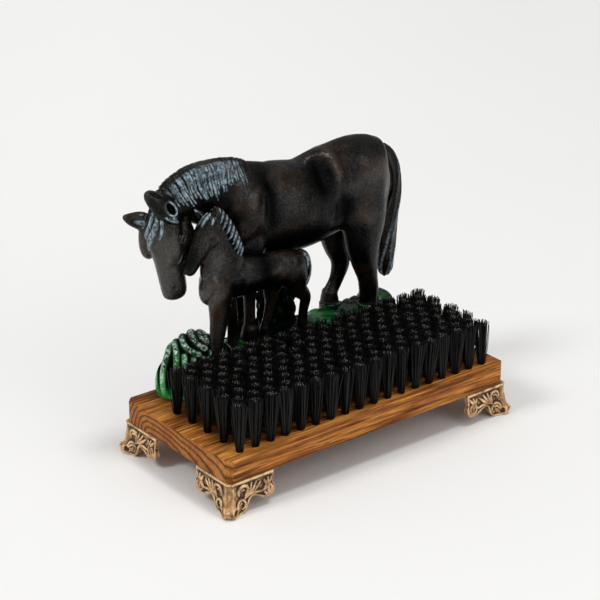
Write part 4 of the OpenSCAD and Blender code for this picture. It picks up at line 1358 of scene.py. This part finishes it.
def make_stage():
    corners = [(-FLOOR, -FLOOR, 0), (FLOOR, -FLOOR, 0), (FLOOR, FLOOR, 0), (-FLOOR, FLOOR, 0)]
    obj = new_object("studio_floor", corners, [[0, 1, 2, 3]])
    # Painted light: the floor is a little darker towards the right of the picture
    s = Shader("studio_floor")
    x, y, _ = s.parts(s.spot)
    rightward = s.math("SUBTRACT", s.times(x, 0.78), s.times(y, 0.62))
    tone = s.plus(s.times(rightward, 1.1), s.times(s.noise(2.0, 2), 0.2))
    colour = s.fade(s.plus(tone, 0.4), 0.2, 0.85, (0.925, 0.92, 0.915), (0.86, 0.855, 0.845))
    obj.data.materials.append(s.set(colour=colour, rough=0.9, specular=0.1))


def make_world():
    """A studio dome, brighter overhead and to the left."""
    world = bpy.data.worlds.new("studio")
    scene.world = world
    world.use_nodes = True
    nodes, links = world.node_tree.nodes, world.node_tree.links
    spot = nodes.new("ShaderNodeTexCoord")
    along = nodes.new("ShaderNodeVectorMath")
    along.operation = "DOT_PRODUCT"
    along.inputs[1].default_value = DOME_BRIGHT
    ramp = nodes.new("ShaderNodeValToRGB")
    for element, (place, level) in zip(ramp.color_ramp.elements, DOME_LEVELS):
        element.position = place
        element.color = (level, level, level * DOME_WARMTH, 1)
    links.new(spot.outputs["Generated"], along.inputs[0])
    links.new(along.outputs["Value"], ramp.inputs["Fac"])
    links.new(ramp.outputs["Color"], nodes["Background"].inputs["Color"])
    nodes["Background"].inputs["Strength"].default_value = 1.0


def lamp(name, kind, power, place, target=(0, 0, 0)):
    light = bpy.data.lights.new(name, kind)
    light.energy = power
    obj = placed(name, light)
    obj.location = place
    obj.rotation_euler = (Vector(target) - Vector(place)).to_track_quat("-Z", "Y").to_euler()
    return light


def make_camera():
    data = bpy.data.cameras.new("photo_view")
    data.sensor_width = SENSOR
    data.lens = LENS
    data.clip_end = 50
    obj = placed("photo_view", data)
    az, el = math.radians(AZIMUTH), math.radians(ELEVATION)
    back = Vector((math.sin(az) * math.cos(el), -math.cos(az) * math.cos(el), math.sin(el)))
    right = Vector((math.cos(az), math.sin(az), 0))
    up = back.cross(right)
    eye = (back * DISTANCE + right * SHIFT_RIGHT + up * SHIFT_UP + Vector(TARGET)) * MM
    obj.matrix_world = Matrix([[*row] for row in zip(right, up, back, eye)] + [[0, 0, 0, 1]])
    scene.camera = obj


make_stage()
make_world()
# Suns are set by strength and spread in degrees, the front lamp by watts and size in metres
lamp("key", "SUN", 0.95, (-0.66, 0.12, 0.74)).angle = math.radians(14)
lamp("top", "SUN", 0.78, (0.16, -0.16, 0.97)).angle = math.radians(11)
front = lamp("front", "AREA", 5, (0.25, -1.35, 0.85), (0, 0, 0.05))
front.shape = "DISK"
front.size = 1.2
make_camera()
scene.view_settings.view_transform = "Standard"
